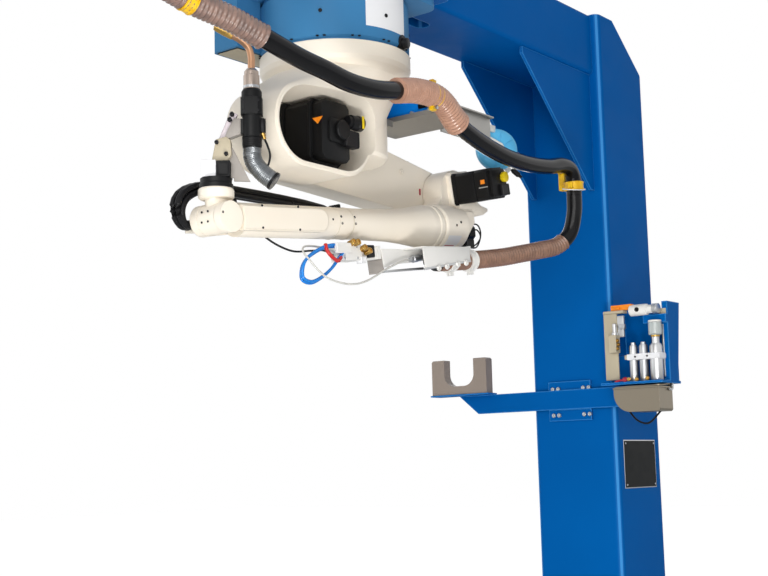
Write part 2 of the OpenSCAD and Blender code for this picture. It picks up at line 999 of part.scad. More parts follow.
// Cover plate on the near side, with a round rear end
module forearm_cover() {
  end_s = 320;
  color(cream)
    at_forearm()
      difference() {
        union() {
          translate([end_s, 0, 0]) {
            y_drum(30, -44, -20);
            y_drum(27, -47, -44);
          }
          slab([45, -44, -30], [end_s, -20, 30]);
          slab([47, -47, -27], [end_s, -44, 27]);
        }
        x_drum(forearm_r + 0.05, 0, 400);
        y_drum(wrist_r + 0.5, -60, 0);
      }
}

// Twin hoses to the wrist on the far side, in the forearm's own frame
route_wrist = [
  [599.8, 61, 7], [585, 61, 7], [570, 61, 7], [530, 62, 20], [450, 65, 50], [300, 68, 70],
  [150, 71, 84], [60, 72, 91], [5, 72, 88], [-38, 72, 70],
  [-57, 72, 42], [-54, 72, 14], [-38, 72, -6], [-26, 72, -9], [-12.2, 72, -9]
];

module wrist_cable() {
  color(black)
    at_forearm()
      for (y = [-8.4, 8.4])
        tube([for (p = smooth(route_wrist, 2)) p + [0, y, 0]], 16, 8);
}

// Wrist and tool

module wrist() {
  color(cream)
    at_tool() {
      y_drum(wrist_r - 1, -fork_half + 0.4, fork_half - 0.4);
      rotate_extrude()
        polygon([
          [0, 0], [26, 0], [26, 44], [38, 46], [42, 50], [42, 66],
          [40, 70], [0, 70]
        ]);
    }
}

module tool_flange() {
  z = 70 + gap;
  color(black)
    at_tool()
      rotate_extrude()
        polygon([
          [0, z], [40, z], [40, z + 10], [37, z + 12], [37, z + 24], [0, z + 24]
        ]);
}

// The tool lies in an upright plane turned this far from +X
tool_turn = -52;
torch_off = 85;

module torch_mount() {
  z0 = 94 + gap;
  color(grey)
    at_tool()
      rotate(tool_turn) {
        xz_extrude(-28, 28)
          polygon([
            [-32, z0], [36, z0], [36, 130], [30, 136], [-26, 136], [-32, 130]
          ]);
        xz_extrude(-14, 14)
          polygon([
            [-8, 135], [30, 135], [38, 150], [36, 184], [26, 192], [2, 186]
          ]);
        xz_extrude(-4, 4)
          polygon([
            [30, 96], [42, 96], [42, 86], [80, 86], [39, 168], [30, 168]
          ]);
        xz_extrude(-12, 12)
          polygon([
            [20, 184], [torch_off - 25, 198], [torch_off - 25, 234],
            [44, 236], [28, 206]
          ]);
        translate([15, 0, 182])
          rotate([0, 23, 0])
            cylinder(r = 8, h = 74);
      }
}

module torch_body() {
  color(black)
    at_tool()
      rotate(tool_turn)
        translate([torch_off, 0, 0]) {
          rotate_extrude()
            polygon([
              [0, 164], [19.5, 164], [22.5, 168], [22.5, 188], [21, 190],
              [22.5, 192], [22.5, 244], [0, 244]
            ]);
          slab([-25, -12, 198], [-18, 12, 234]);
          translate([0, 0, 243])
            linear_extrude(42)
              polygon(cut_square(50, 43, 9));
          translate([0, 0, 285])
            cylinder(r = 24, h = 15);
          translate([0, 0, 300])
            cylinder(r1 = 24, r2 = 20.5, h = 6);
        }
}

module torch_neck() {
  z = 306 + gap;
  color("peru")
    at_tool()
      rotate(tool_turn) {
        translate([torch_off, 0, 0])
          rotate_extrude()
            polygon([
              [0, z], [19, z], [19, z + 34], [17, z + 37], [17, z + 44],
              [12, z + 50], [0, z + 50]
            ]);
        tube(
          smooth([
            for (p = [[85, 356], [85, 385], [79, 408], [62, 426], [40, 440]])
              [p[0], 0, p[1]]], 3), 17);
        translate([40, 0, 440])
          rotate([0, -62, 0]) {
            cylinder(r = 10.5, h = 35);
            translate([0, 0, 35])
              cylinder(r1 = 10.5, r2 = 8, h = 10);
          }
      }
}

module torch_conduit() {
  color(grey)
    at_tool()
      rotate(tool_turn)
        tube(
          smooth([
            for (p = [
              [85, 163.7], [85, 155], [85, 146], [92, 127], [112, 103], [137, 84]
            ])
              [p[0], 0, p[1]]], 3), 43, 12);
}

base_plate();
foot_ribs();
column();
beam();
knee_gussets();
mount_plate();
robot_base();
connector_box();
hose_boom();
hose_clamp_beam();
hose_beam();
shelf_arm();
torch_rest();
station_frame();
station_cutter();
station_cylinders();
drip_tray();
nameplate();
swivel();
shoulder_motor();
wire_feeder();
feeder_bracket();
spring_balancer();
hose_holder();
hose_hanger();
hose_swivel();
lower_arm();
hose_rear();
elbow();
elbow_motor();
roll_motor();
hose_bracket();
hose_clamps();
valve_block();
air_lines();
hose_elbow();
forearm();
forearm_cover();
wrist_cable();
wrist();
tool_flange();
torch_mount();
torch_body();
torch_neck();
torch_conduit();
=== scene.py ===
# Robot positioner: looks for the gallows mast, the welding robot that hangs
# from its beam, the dress hose and the torch cleaning station. Blender works
# in metres; the helpers below take millimetres, as a workshop drawing does.
from math import cos, pi, radians, sin
import bpy
from mathutils import Matrix, Vector


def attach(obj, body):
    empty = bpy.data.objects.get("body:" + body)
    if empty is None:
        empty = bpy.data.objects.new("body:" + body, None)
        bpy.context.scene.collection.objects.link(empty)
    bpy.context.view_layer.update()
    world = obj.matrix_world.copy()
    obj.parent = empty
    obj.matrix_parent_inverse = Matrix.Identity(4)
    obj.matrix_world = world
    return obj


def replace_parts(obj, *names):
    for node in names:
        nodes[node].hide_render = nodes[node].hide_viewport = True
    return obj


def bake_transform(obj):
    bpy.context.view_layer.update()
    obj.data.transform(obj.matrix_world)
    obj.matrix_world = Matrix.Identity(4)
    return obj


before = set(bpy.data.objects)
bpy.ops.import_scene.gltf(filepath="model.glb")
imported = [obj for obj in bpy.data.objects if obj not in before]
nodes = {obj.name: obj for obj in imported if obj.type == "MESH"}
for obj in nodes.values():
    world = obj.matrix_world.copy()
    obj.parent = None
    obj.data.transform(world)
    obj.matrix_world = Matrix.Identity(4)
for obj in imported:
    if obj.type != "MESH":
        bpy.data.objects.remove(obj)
scene = bpy.context.scene
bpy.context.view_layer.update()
MM = 0.001
link = scene.collection.objects.link
move = Matrix.Translation


def turn(degrees, axis):
    """A turn about an axis."""
    return Matrix.Rotation(radians(degrees), 4, axis)


# ------ Camera

LENS, FILM = 62.4, 36.0
CAMERA_PLACE = (-3.883, -2.176, 1.246)
# Degrees: round the upright, up from straight down, and a slight roll
HEADING, TILT_UP, ROLL = -51.82, 97.7, -1.39

cam_data = bpy.data.cameras.new("camera")
cam_data.lens = LENS
cam_data.sensor_width = FILM
cam_data.clip_end = 60.0
camera = bpy.data.objects.new("camera", cam_data)
link(camera)
camera.matrix_world = move(CAMERA_PLACE) @ turn(HEADING, "Z") @ turn(TILT_UP, "X") @ turn(ROLL, "Z")
scene.camera = camera
scene.view_settings.view_transform = "Standard"

# ------ Materials


def srgb(code):
    """A hex colour such as 1A2B3C as linear red, green, blue and alpha."""
    parts = [int(code[i:i + 2], 16) / 255 for i in (0, 2, 4)]
    linear = [c / 12.92 if c <= 0.04045 else ((c + 0.055) / 1.055) ** 2.4 for c in parts]
    return (*linear, 1.0)


def node(tree, kind, settings=None, **links):
    """Adds a shader node. settings go to its properties or, by name or number, to its inputs."""
    made = tree.nodes.new("ShaderNode" + kind)
    for key, value in (settings or {}).items():
        if isinstance(key, int) or key in made.inputs:
            made.inputs[key].default_value = value
        else:
            setattr(made, key, value)
    for key, socket in links.items():
        name = int(key[1:]) if key[0] == "i" and key[1:].isdigit() else key.replace("_", " ")
        tree.links.new(socket, made.inputs[name])
    return made


def start_material(name, **shader):
    """A new material with its tree, its surface shader and the object coordinates."""
    made = bpy.data.materials.new(name)
    made.use_nodes = True
    tree = made.node_tree
    surface = tree.nodes["Principled BSDF"]
    for key, value in shader.items():
        surface.inputs[key.replace("_", " ")].default_value = value
    made.diffuse_color = surface.inputs["Base Color"].default_value
    place = node(tree, "TexCoord").outputs["Object"]
    return made, tree, surface, place


def mottle(tree, place, scale, low, high, detail=3.0):
    """A soft noise between two grey values or two colours."""
    noise = node(tree, "TexNoise", {"Scale": scale, "Detail": detail}, Vector=place)
    ramp = node(tree, "ValToRGB", Fac=noise.outputs["Fac"])
    for stop, place, value in zip(ramp.color_ramp.elements, (0.35, 0.65), (low, high)):
        stop.position = place
        stop.color = value if isinstance(value, tuple) else (value, value, value, 1)
    return ramp.outputs["Color"]


def grain(tree, surface, height, strength, distance, edge_mm=0.0):
    """Turns a height into relief on the shader, over edges that are softened by edge_mm."""
    bump = node(tree, "Bump", {"Strength": strength, "Distance": distance}, Height=height)
    if edge_mm:
        soft = node(tree, "Bevel", {"samples": 4, "Radius": edge_mm * MM})
        tree.links.new(soft.outputs["Normal"], bump.inputs["Normal"])
    tree.links.new(bump.outputs["Normal"], surface.inputs["Normal"])


# Width in mm of the painted highlight along edges and corners, and the depth in metres of orange peel, grit
# and scratches
HIGHLIGHT_EDGE, PEEL_DEPTH, GRIT_DEPTH, SCRATCH_DEPTH = 7.0, 0.0006, 0.0003, 0.0002


def paint_edge_highlight(tree, coat, highlight_code, width_mm):
    """Paints a highlight, a lighter colour, along sharp edges and rounded corners."""
    def share(value, start, full):
        """Nothing at start, and three quarters of the highlight colour from full on."""
        made = node(tree, "MapRange", {"From Min": start, "From Max": full, "To Min": 0.0, "To Max": 0.75},
                    i0=value)
        return made.outputs["Result"]

    soft = node(tree, "Bevel", {"samples": 6, "Radius": width_mm * MM})
    shape = node(tree, "NewGeometry")
    bend = node(tree, "VectorMath", {"operation": "DOT_PRODUCT"},
                i0=soft.outputs["Normal"], i1=shape.outputs["Normal"])
    # The rounded corners of rolled tube face both ways at once, so they get the painted highlight too
    facing = node(tree, "SeparateXYZ", i0=node(tree, "TexCoord").outputs["Normal"])
    both = node(tree, "Math", {"operation": "MULTIPLY"},
                i0=facing.outputs["X"], i1=facing.outputs["Y"])
    size = node(tree, "Math", {"operation": "ABSOLUTE"}, i0=both.outputs[0])
    edge = node(tree, "Math", {"operation": "MAXIMUM"},
                i0=share(bend.outputs["Value"], 0.985, 0.8), i1=share(size.outputs[0], 0.40, 0.49))
    # Mixes the painted highlight colour over the coat
    blend = node(tree, "Mix", {"data_type": "RGBA", 7: srgb(highlight_code)}, i0=edge.outputs[0], i6=coat)
    return blend.outputs[2]


def enamel(name, code, darker, rough, peel_mm, edge_mm=2.0, relief=0.12, gloss=0.5, highlight_code=None):
    """Sprayed paint: near-even colour, faint orange peel and a little dust in the gloss."""
    made, tree, surface, place = start_material(name, Roughness=rough, Specular_IOR_Level=gloss)
    coat = mottle(tree, place, 2.2, srgb(darker), srgb(code))
    # Where a highlight colour is given, a painted highlight runs along the edges and corners
    if highlight_code:
        coat = paint_edge_highlight(tree, coat, highlight_code, HIGHLIGHT_EDGE)
    tree.links.new(coat, surface.inputs["Base Color"])
    made.diffuse_color = srgb(code)
    tree.links.new(mottle(tree, place, 9.0, rough - 0.05, rough + 0.06), surface.inputs["Roughness"])
    peel = node(tree, "TexNoise", {"Scale": 1000 / peel_mm, "Detail": 1.0}, Vector=place)
    grain(tree, surface, peel.outputs["Fac"], relief, PEEL_DEPTH, edge_mm)
    return made


# Polyurethane top coat on rolled mild steel: deep matt blue, with a painted highlight along the edges and
# corners.
mast_paint = enamel("polyurethane_blue_mast", "005AA5", "00559D", 0.4, 7, 4.0, 0.1, 0.02, "4A9BE0")
# Factory stove enamel on the cast iron base: greyer, flatter blue.
base_paint = enamel("stove_enamel_steel_blue", "407FAE", "3A76A4", 0.45, 5, 2.5, 0.15, 0.12)
# Powder coat on a folded sheet housing: bright blue.
feeder_paint = enamel("powder_coat_bright_blue", "0078DA", "0072D0", 0.42, 4, 1.5, 0.12, 0.1)
# Hammer paint on a die cast drum: pale sky blue, a little pebbled.
balancer_paint = enamel("die_cast_sky_blue", "62C4F0", "55B4E4", 0.4, 4, 1.5, 0.2, 0.4)
# Light ivory epoxy over sand cast aluminium: a fine pebble shows in the gloss.
arm_paint = enamel("epoxy_ivory_casting", "F1E8DA", "ECE2D2", 0.42, 3, 3.5, 0.2, 0.4)
# White powder coat on small housings, folded sheet and clamps.
white_paint = enamel("powder_coat_white", "E6E4E0", "DBD9D5", 0.45, 3, 1.0)
# Matt dark epoxy on motor housings: nearly black with a dull sheen.
motor_paint = enamel("motor_epoxy_black", "161617", "101112", 0.42, 3, 1.5, 0.12, 0.16)
# Warm grey lacquer on the zinc casting of the torch rest: satin.
rest_paint = enamel("zinc_casting_taupe", "94867B", "84776D", 0.5, 3, 1.5)
# Powder coat on the station's plates: dull beige.
beige_paint = enamel("powder_coat_beige", "B9AE96", "ADA189", 0.5, 3, 1.0)
# Lacquered clamp bar: pale rose grey, satin.
bar_paint = enamel("lacquered_bar_pale", "CFC4C8", "BDB2B8", 0.35, 3, 1.0)


def plastic(name, code, rough, grit_mm=1.2, relief=0.1, darker=None, gloss=0.35, **more):
    """Moulded or extruded plastic: even colour with a fine grain."""
    made, tree, surface, place = start_material(name, Base_Color=srgb(code), Roughness=rough,
                                                Specular_IOR_Level=gloss, **more)
    if darker:
        tree.links.new(mottle(tree, place, 45.0, srgb(darker), srgb(code)), surface.inputs["Base Color"])
    tree.links.new(mottle(tree, place, 30.0, rough - 0.04, rough + 0.05), surface.inputs["Roughness"])
    grit = node(tree, "TexNoise", {"Scale": 1000 / grit_mm, "Detail": 2.0}, Vector=place)
    grain(tree, surface, grit.outputs["Fac"], relief, GRIT_DEPTH)
    return made


# Injection moulded polyamide clips: strong yellow, satin.
clip_plastic = plastic("polyamide_yellow", "EDC01A", 0.36, 2.0, 0.1, "D2A010")
# Extruded polyurethane hose jacket: black with a thin wet-looking highlight.
hose_skin = plastic("polyurethane_hose_black", "101012", 0.2, 2.0, 0.02, gloss=0.2)
# Corrugated PVC wear sleeve: smoky brown over the black hose.
sleeve_skin = plastic("pvc_sleeve_smoke_brown", "8A6D61", 0.2, 3.0, 0.04, "6A554E", gloss=0.7)
# The same PVC, painted a lighter salmon brown for the light that shines through its wall.
sleeve_painted_lit = plastic("pvc_sleeve_salmon", "B58A74", 0.24, 3.0, 0.04, "A87E69", gloss=0.6)
# Soft PVC at the elbow: orange brown.
rear_sleeve = plastic("pvc_sleeve_orange_brown", "8E6A56", 0.22, 3.0, 0.04, "7C5C4B", gloss=0.7)
# Extruded polyurethane air tube: clear saturated blue.
air_blue = plastic("polyurethane_tube_blue", "1478CC", 0.2)
# Extruded polyethylene tube: milky grey.
air_grey = plastic("polyethylene_tube_grey", "C6C4BE", 0.3)
# Red polyurethane tube.
air_red = plastic("polyurethane_tube_red", "C02A28", 0.25)
# Moulded cable jackets and connector bodies: black, dull.
cable_black = plastic("pvc_cable_black", "131315", 0.38, gloss=0.2)
# Moulded polycarbonate marks and blocks: orange.
mark_orange = plastic("polycarbonate_orange", "F08A1E", 0.3)
# Moulded polyamide marks: yellow, satin.
mark_yellow = plastic("polyamide_cap_yellow", "E6C81C", 0.4)
# Moulded knobs and marks, coloured through: deep red.
mark_red = plastic("moulded_knob_red", "A01E34", 0.35)
# Vinyl label stock left without printing: off white.
label_vinyl = plastic("vinyl_label_blank", "E4E4E6", 0.35, 3.0, 0.05)
# Engraving laminate left plain: black, satin.
plate_laminate = plastic("laminate_plate_black", "0B0E10", 0.35, 3.0, 0.05, gloss=0.08)
# Drawn acrylic cup: clear with a faint smoky wall.
cup_clear = plastic("acrylic_cup_clear", "E2E8E6", 0.1, 3.0, 0.02, gloss=0.5,
                    Transmission_Weight=0.55, IOR=1.49)


def metal(name, code, rough, scratch_mm, stretch=(1, 1, 1), relief=0.1):
    """Bare metal: directional or cast grain that breaks up the gloss."""
    made, tree, surface, place = start_material(name, Base_Color=srgb(code), Metallic=1.0, Roughness=rough)
    turned_grain = node(tree, "Mapping", {"Scale": stretch}, Vector=place)
    lines = node(tree, "TexNoise", {"Scale": 1000 / scratch_mm, "Detail": 3.0},
                 Vector=turned_grain.outputs["Vector"])
    spread = node(tree, "MapRange", {"To Min": rough - 0.07, "To Max": rough + 0.1},
                  Value=lines.outputs["Fac"])
    tree.links.new(spread.outputs["Result"], surface.inputs["Roughness"])
    grain(tree, surface, lines.outputs["Fac"], relief, SCRATCH_DEPTH, 0.8)
    return made


# Milled aluminium, clear anodised: pale satin grey.
aluminium = metal("anodised_aluminium", "C9CACB", 0.36, 2.5, (1, 1, 8))
# Brushed stainless sheet: long horizontal brush lines, warm grey.
stainless = metal("brushed_stainless", "8F8677", 0.34, 3.0, (1, 1, 14))
# Zinc plated steel screws and brackets: bluish grey, slightly dull.
zinc = metal("zinc_plated_steel", "B8BABD", 0.38, 2.0)
# Black oxide socket screws: dark, a little oily.
black_screw = metal("black_oxide_steel", "2A2A2C", 0.42, 1.5)
# Galvanised sheet, lightly oxidised: flat grey.
galvanised = metal("galvanised_sheet", "A9A7A3", 0.5, 6.0)
# Drawn copper torch neck, heat tinted: orange brown.
copper = metal("drawn_copper", "B48A6C", 0.3, 2.0)
# Turned brass nozzle and fittings: gold.
brass = metal("turned_brass", "BF9A55", 0.26, 1.5)
# Satin nickel over brass on the torch socket: warm dull grey.
nickel = metal("satin_nickel", "A89A90", 0.34, 2.0)
# Machine grey lacquer on folded and machined brackets.
bracket_grey = enamel("lacquer_machine_grey", "9B948E", "8E8882", 0.45, 3, 1.0)
# Nickel plated flexible conduit: cool grey.
conduit_metal = metal("nickel_flex_conduit", "8E9194", 0.3, 2.0)

# ------ Modelling with tools


def clear():
    """Nothing selected, nothing in edit mode."""
    if bpy.context.object and bpy.context.object.mode != "OBJECT":
        bpy.ops.object.mode_set(mode="OBJECT")
    bpy.ops.object.select_all(action="DESELECT")


def mode(name):
    """Edit mode or object mode for the active piece."""
    bpy.ops.object.mode_set(mode=name)


def settle(name, finish, on, smooth=35):
    """Names the active piece, puts its place into its mesh, gives it a finish and a body."""
    piece = bpy.context.object
    body, at = on
    if at is not None:
        piece.matrix_world = at @ piece.matrix_world
    bpy.ops.object.transform_apply(location=True, rotation=True, scale=True)
    piece.name = name
    piece.data.materials.clear()
    piece.data.materials.append(finish)
    bpy.ops.object.shade_smooth_by_angle(angle=radians(smooth))
    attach(piece, body)
    piece.select_set(False)
    return piece


def soften(edge):
    """Rounds every edge of the piece in edit mode, then leaves edit mode."""
    bpy.ops.mesh.select_all(action="SELECT")
    bpy.ops.mesh.normals_make_consistent(inside=False)
    if edge:
        bpy.ops.mesh.bevel(offset=edge * MM, segments=2, affect="EDGES")
    mode("OBJECT")


def block(name, low, high, finish, on, edge=1.5, dents=()):
    """A box between two corners with soft edges; a dent is (normal, rim, depth)."""
    clear()
    low, high = Vector(low) * MM, Vector(high) * MM
    bpy.ops.mesh.primitive_cube_add(size=1, location=(low + high) / 2)
    bpy.context.object.scale = high - low
    bpy.ops.object.transform_apply(location=False, rotation=False, scale=True)
    for normal, rim, depth in dents:
        for face in bpy.context.object.data.polygons:
            face.select = face.normal.dot(Vector(normal)) > 0.99 and face.area > 4e-6
        mode("EDIT")
        bpy.ops.mesh.select_mode(type="FACE")
        bpy.ops.mesh.inset(thickness=rim * MM, depth=-depth * MM)
        mode("OBJECT")
    mode("EDIT")
    soften(edge)
    return settle(name, finish, on)


def plate(name, outline, low, high, finish, on, edge=0.8):
    """A flat outline extruded from one level to another along its own Z."""
    clear()
    bpy.ops.mesh.primitive_circle_add(vertices=len(outline), radius=1, fill_type="NGON")
    for point, (across, up) in zip(bpy.context.object.data.vertices, outline):
        point.co = (across * MM, up * MM, low * MM)
    mode("EDIT")
    bpy.ops.mesh.select_all(action="SELECT")
    bpy.ops.mesh.extrude_region_move(TRANSFORM_OT_translate={"value": (0, 0, (high - low) * MM)})
    soften(edge)
    return settle(name, finish, on)


def turned(name, base, direction, steps, finish, on, sides=32, smooth=35):
    """A turned piece: steps are (distance, radius) along its axis, drawn out of a disc."""
    clear()
    base, along = Vector(base) * MM, Vector(direction).normalized()
    spin = along.to_track_quat("Z", "Y").to_euler()
    bpy.ops.mesh.primitive_circle_add(
        vertices=sides, radius=steps[0][1] * MM, fill_type="NGON",
        location=base + along * steps[0][0] * MM, rotation=spin)
    mode("EDIT")
    bpy.ops.mesh.select_all(action="SELECT")
    for (last, width), (far, next_width) in zip(steps, steps[1:]):
        bpy.ops.mesh.extrude_region_move(TRANSFORM_OT_translate={"value": along * (far - last) * MM})
        ratio = next_width / width
        bpy.ops.transform.resize(value=(ratio, ratio, ratio), center_override=base + along * far * MM)
    soften(0)
    return settle(name, finish, on, smooth)


def wrapped(name, radius, thick, start, end, low, high, finish, on):
    """A thin patch that lies on a drum round Z, between two angles and two levels."""
    clear()
    bpy.ops.mesh.primitive_cube_add(size=1)
    mode("EDIT")
    bpy.ops.mesh.select_all(action="SELECT")
    bpy.ops.mesh.subdivide(number_cuts=11)
    mode("OBJECT")
    for point in bpy.context.object.data.vertices:
        share, out, up = point.co.x + 0.5, point.co.y + 0.5, point.co.z + 0.5
        angle = radians(start + (end - start) * share)
        reach = (radius + thick * out) * MM
        point.co = (reach * cos(angle), reach * sin(angle), (low + (high - low) * up) * MM)
    mode("EDIT")
    soften(0)
    return settle(name, finish, on)


def joined(name, pieces):
    """Several pieces of one body and one finish as one."""
    clear()
    for piece in pieces:
        piece.select_set(True)
    bpy.context.view_layer.objects.active = pieces[0]
    bpy.ops.object.join()
    pieces[0].name = name
    pieces[0].select_set(False)
    return pieces[0]


def stack(name, steps, finish, on, edge):
    """Plates on top of each other as one piece: steps are (outline, low, high)."""
    return joined(name, [plate(f"{name}_{k}", *step, finish, on, edge) for k, step in enumerate(steps)])


def screws(name, spots, direction, head, tall, on, finish=black_screw, sides=12):
    """Cap screws with a socket: one is modelled, the rest are copies with their own mesh."""
    along = Vector(direction).normalized()
    steps = [(-0.5, head), (tall * 0.8, head), (tall, head * 0.85), (tall, head * 0.5),
             (tall * 0.4, head * 0.45)]
    body, at = on
    made = [turned(f"{name}_0", (0, 0, 0), along, steps, finish, (body, None), sides, 30)]
    for _ in spots[1:]:
        copy = made[0].copy()
        copy.data = made[0].data.copy()
        link(copy)
        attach(copy, body)
        made.append(copy)
    for copy, spot in zip(made, spots):
        shift = move(Vector(spot) * MM)
        copy.data.transform(at @ shift if at is not None else shift)
    return joined(name, made) if len(made) > 1 else made[0]


# Fine steps between two points of a route
SPAN = 30


def walk(points, first, last, step):
    """Points step apart on a smooth curve through points, between two of them."""
    pts = [Vector(p) * MM for p in points]
    whole = []
    for i in range(len(pts) - 1):
        a, b = pts[max(i - 1, 0)], pts[i]
        c, d = pts[i + 1], pts[min(i + 2, len(pts) - 1)]
        for t in [s / SPAN for s in range(SPAN)]:
            whole.append(0.5 * ((2 * b) + (c - a) * t + (2 * a - 5 * b + 4 * c - d) * t * t
                                + (3 * b - a - 3 * c + d) * t * t * t))
    whole.append(pts[-1])
    fine = whole[round(SPAN * first):round(SPAN * last) + 1]
    total = sum((q - p).length for p, q in zip(fine, fine[1:]))
    count = max(2, round(total / (step * MM)))
    out, walked, k = [fine[0]], 0.0, 0
    for j in range(1, count):
        goal = total * j / count
        while k < len(fine) - 2 and walked + (fine[k + 1] - fine[k]).length < goal:
            walked += (fine[k + 1] - fine[k]).length
            k += 1
        out.append(fine[k].lerp(fine[k + 1], (goal - walked) / (fine[k + 1] - fine[k]).length))
    out.append(fine[-1])
    return out


def tube(name, points, radius, finish, on=(None, None), sides=6, ridge=0.0, pitch=0.0, swell=None):
    """A round tube along close points; ridge and pitch in mm make it ribbed, swell(share) widens
    it."""
    clear()
    data = bpy.data.curves.new(name, "CURVE")
    data.dimensions = "3D"
    data.bevel_depth = radius * MM
    data.bevel_resolution = sides
    data.use_fill_caps = True
    spline = data.splines.new("POLY")
    spline.points.add(len(points) - 1)
    walked = 0.0
    for i, p in enumerate(points):
        if i:
            walked += (p - points[i - 1]).length
        spline.points[i].co = (*p, 1)
        wide = swell(i / (len(points) - 1)) if swell else 1.0
        if ridge:
            wide += ridge / radius * cos(2 * pi * walked / (pitch * MM))
        spline.points[i].radius = wide
    piece = bpy.data.objects.new(name, data)
    link(piece)
    bpy.context.view_layer.objects.active = piece
    piece.select_set(True)
    bpy.ops.object.convert(target="MESH")
    piece = bpy.context.object
    piece.name = name
    body, at = on
    if at is not None:
        piece.data.transform(at)
    piece.data.materials.clear()
    piece.data.materials.append(finish)
    bpy.ops.object.shade_smooth_by_angle(angle=radians(60))
    if body:
        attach(piece, body)
    piece.select_set(False)
    return piece


def line(name, points, radius, finish, on=(None, None), step=6.0):
    """A thin tube or wire through a few points."""
    return tube(name, walk(points, 0, len(points) - 1, step), radius, finish, on, 3)


def cut_square(wide, high, corner):
    """The outline of a rectangle with its corners cut off."""
    x, y, c = wide / 2, high / 2, corner
    return [(x - c, -y), (x, c - y), (x, y - c), (x - c, y),
            (c - x, y), (-x, y - c), (-x, c - y), (c - x, -y)]


def round_spots(radius, count, start=0.0):
    """Places on a circle, as across and up."""
    turns = [2 * pi * k / count + start for k in range(count)]
    return [(radius * cos(a), radius * sin(a)) for a in turns]

# ------ Where pieces go

# To the near side, ahead and up
NEAR, AHEAD, UP = (0, -1, 0), (-1, 0, 0), (0, 0, 1)
# How far the forearm is tilted and the tool is turned, in degrees
FOREARM_TILT, TOOL_TURN = 6, -52
wrist_axis = Vector((-1.737514, 0, 1.826549))
elbow_axis = Vector((-0.782758, 0, 2.022421))
# Along the forearm, across it and above it, from the wrist's axis
forearm_frame = move(wrist_axis) @ turn(-FOREARM_TILT, "Y")
# The forearm's drum axis as Z
drum_frame = forearm_frame @ turn(90, "Y")
# Out to the torch, across and up, from the wrist's axis
tool_frame = move(wrist_axis) @ turn(TOOL_TURN, "Z")
# Across and up in a drawing, seen from the near side or from ahead; Z comes to the viewer
SIDE = Matrix(((1, 0, 0, 0), (0, 0, -1, 0), (0, 1, 0, 0), (0, 0, 0, 1)))
FACE = Matrix(((0, 0, -1, 0), (-1, 0, 0, 0), (0, 1, 0, 0), (0, 0, 0, 1)))


def within(on, change):
    """The same body, with the frame moved or turned inside itself."""
    return on[0], on[1] @ change


def side(on):
    """The same place, for a drawing that is seen from the near side."""
    return within(on, SIDE)


# A place is a body to ride and the frame that a piece's numbers are in, None for the world
MAST, SWIVEL, ARM = ("mast", None), ("swivel_body", None), ("lower_arm_body", None)
ELBOW, FOREARM_WORLD = ("elbow_body", None), ("forearm_body", None)
BASE_X = -1300
BASE = ("mast", move((BASE_X * MM, 0, 0)))
SHOULDER = ("swivel_body", move((-1.425, 0, 2.075)))
SHELL_FACE = ("swivel_body", move((-1.4837, 0.0, 2.092)) @ FACE)
BALANCER = ("swivel_body", move((-0.698, -0.1, 2.155)) @ turn(-40, "Z"))
PIVOT = ("elbow_body", move(elbow_axis))
MOTOR = ("elbow_body", move(elbow_axis + Vector((0.0105, 0, 0.0166))) @ turn(-12, "Y"))
DRIVE, DRIVE_AXIS = ("elbow_body", forearm_frame), ("elbow_body", drum_frame)
FOREARM = ("forearm_body", forearm_frame)
WRIST = ("wrist_body", move(wrist_axis))
TOOL = ("tool_body", tool_frame)
TILT = within(TOOL, move((0.015, 0, 0.182)) @ turn(23, "Y"))

# ------ CAD node finishes

for finish, names in (
        (mast_paint, ("base_plate", "foot_ribs", "column", "beam", "knee_gussets", "mount_plate",
                      "hose_boom", "shelf_arm", "station_frame")),
        (base_paint, ("robot_base", "connector_box")),
        (arm_paint, ("swivel", "lower_arm", "elbow", "forearm", "forearm_cover", "wrist")),
        (motor_paint, ("shoulder_motor", "roll_motor", "tool_flange", "torch_body")),
        (clip_plastic, ("hose_clamp_beam", "hose_holder", "hose_hanger")),
        (feeder_paint, ("wire_feeder",)), (galvanised, ("feeder_bracket",)),
        (white_paint, ("hose_bracket", "hose_clamps", "valve_block")),
        (rest_paint, ("torch_rest",)), (stainless, ("drip_tray",)),
        (plate_laminate, ("nameplate",)), (cable_black, ("wrist_cable",))):
    for name in names:
        nodes[name].data.materials.clear()
        nodes[name].data.materials.append(finish)

# ------ Dress hose

# The hose's route, from the gland on the beam to the clamps under the elbow
route = [
    (-1600, -70, 2620), (-1660, -70, 2620), (-1780, -70, 2620),
    (-1950, -100, 2618), (-2090, -130, 2572), (-2165, -150, 2450),
    (-2150, -165, 2335), (-2085, -172, 2270), (-1992, -180, 2242),
    (-1894, -205, 2220), (-1806, -225, 2193), (-1710, -240, 2167),
    (-1640, -254, 2152), (-1560, -262, 2138), (-1470, -265, 2140),
    (-1387, -262, 2155), (-1300, -258, 2174), (-1220, -254, 2180),
    (-1165, -250, 2168), (-1092, -240, 2132), (-980, -232, 2106),
    (-849, -225, 2090), (-720, -218, 2091), (-600, -212, 2104),
    (-520, -208, 2122), (-465, -204, 2122), (-438, -201, 2100),
    (-434, -200, 2072), (-434, -200, 2044), (-432, -196, 1990),
    (-440, -182, 1930), (-480, -160, 1890), (-544.8, -140, 1872.4),
    (-619.8, -118, 1855.4), (-699.8, -100, 1838.4), (-832.6, -82, 1817.1),
    (-925.8, -79.5, 1804.8), (-975.4, -76, 1798.1)]
# Points of the route where a sleeve begins or ends
SLEEVE_A, SLEEVE_B, SLEEVE_C = (6.9, 9.95), (15.05, 19.0), (30.6, 36.9)
AT_BEAM, ON_SWIVEL, BEHIND, AT_ARM, AT_ELBOW = 9, 15, 28, 32, 36
# The point where the swivel's length of hose begins, and the last point
SWIVEL_START, LAST = 16, 37
HOSE_R, STEP = 23, 10
# The outermost bend stays inside the boom's reach
BOOM_REACH = -2.1655


def spot(index):
    """A point of the route in metres."""
    return tuple(c * MM for c in route[index])


def hang(piece):
    """Puts a length of hose or sleeve in the world, with its place baked into its mesh."""
    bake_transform(piece)
    return piece


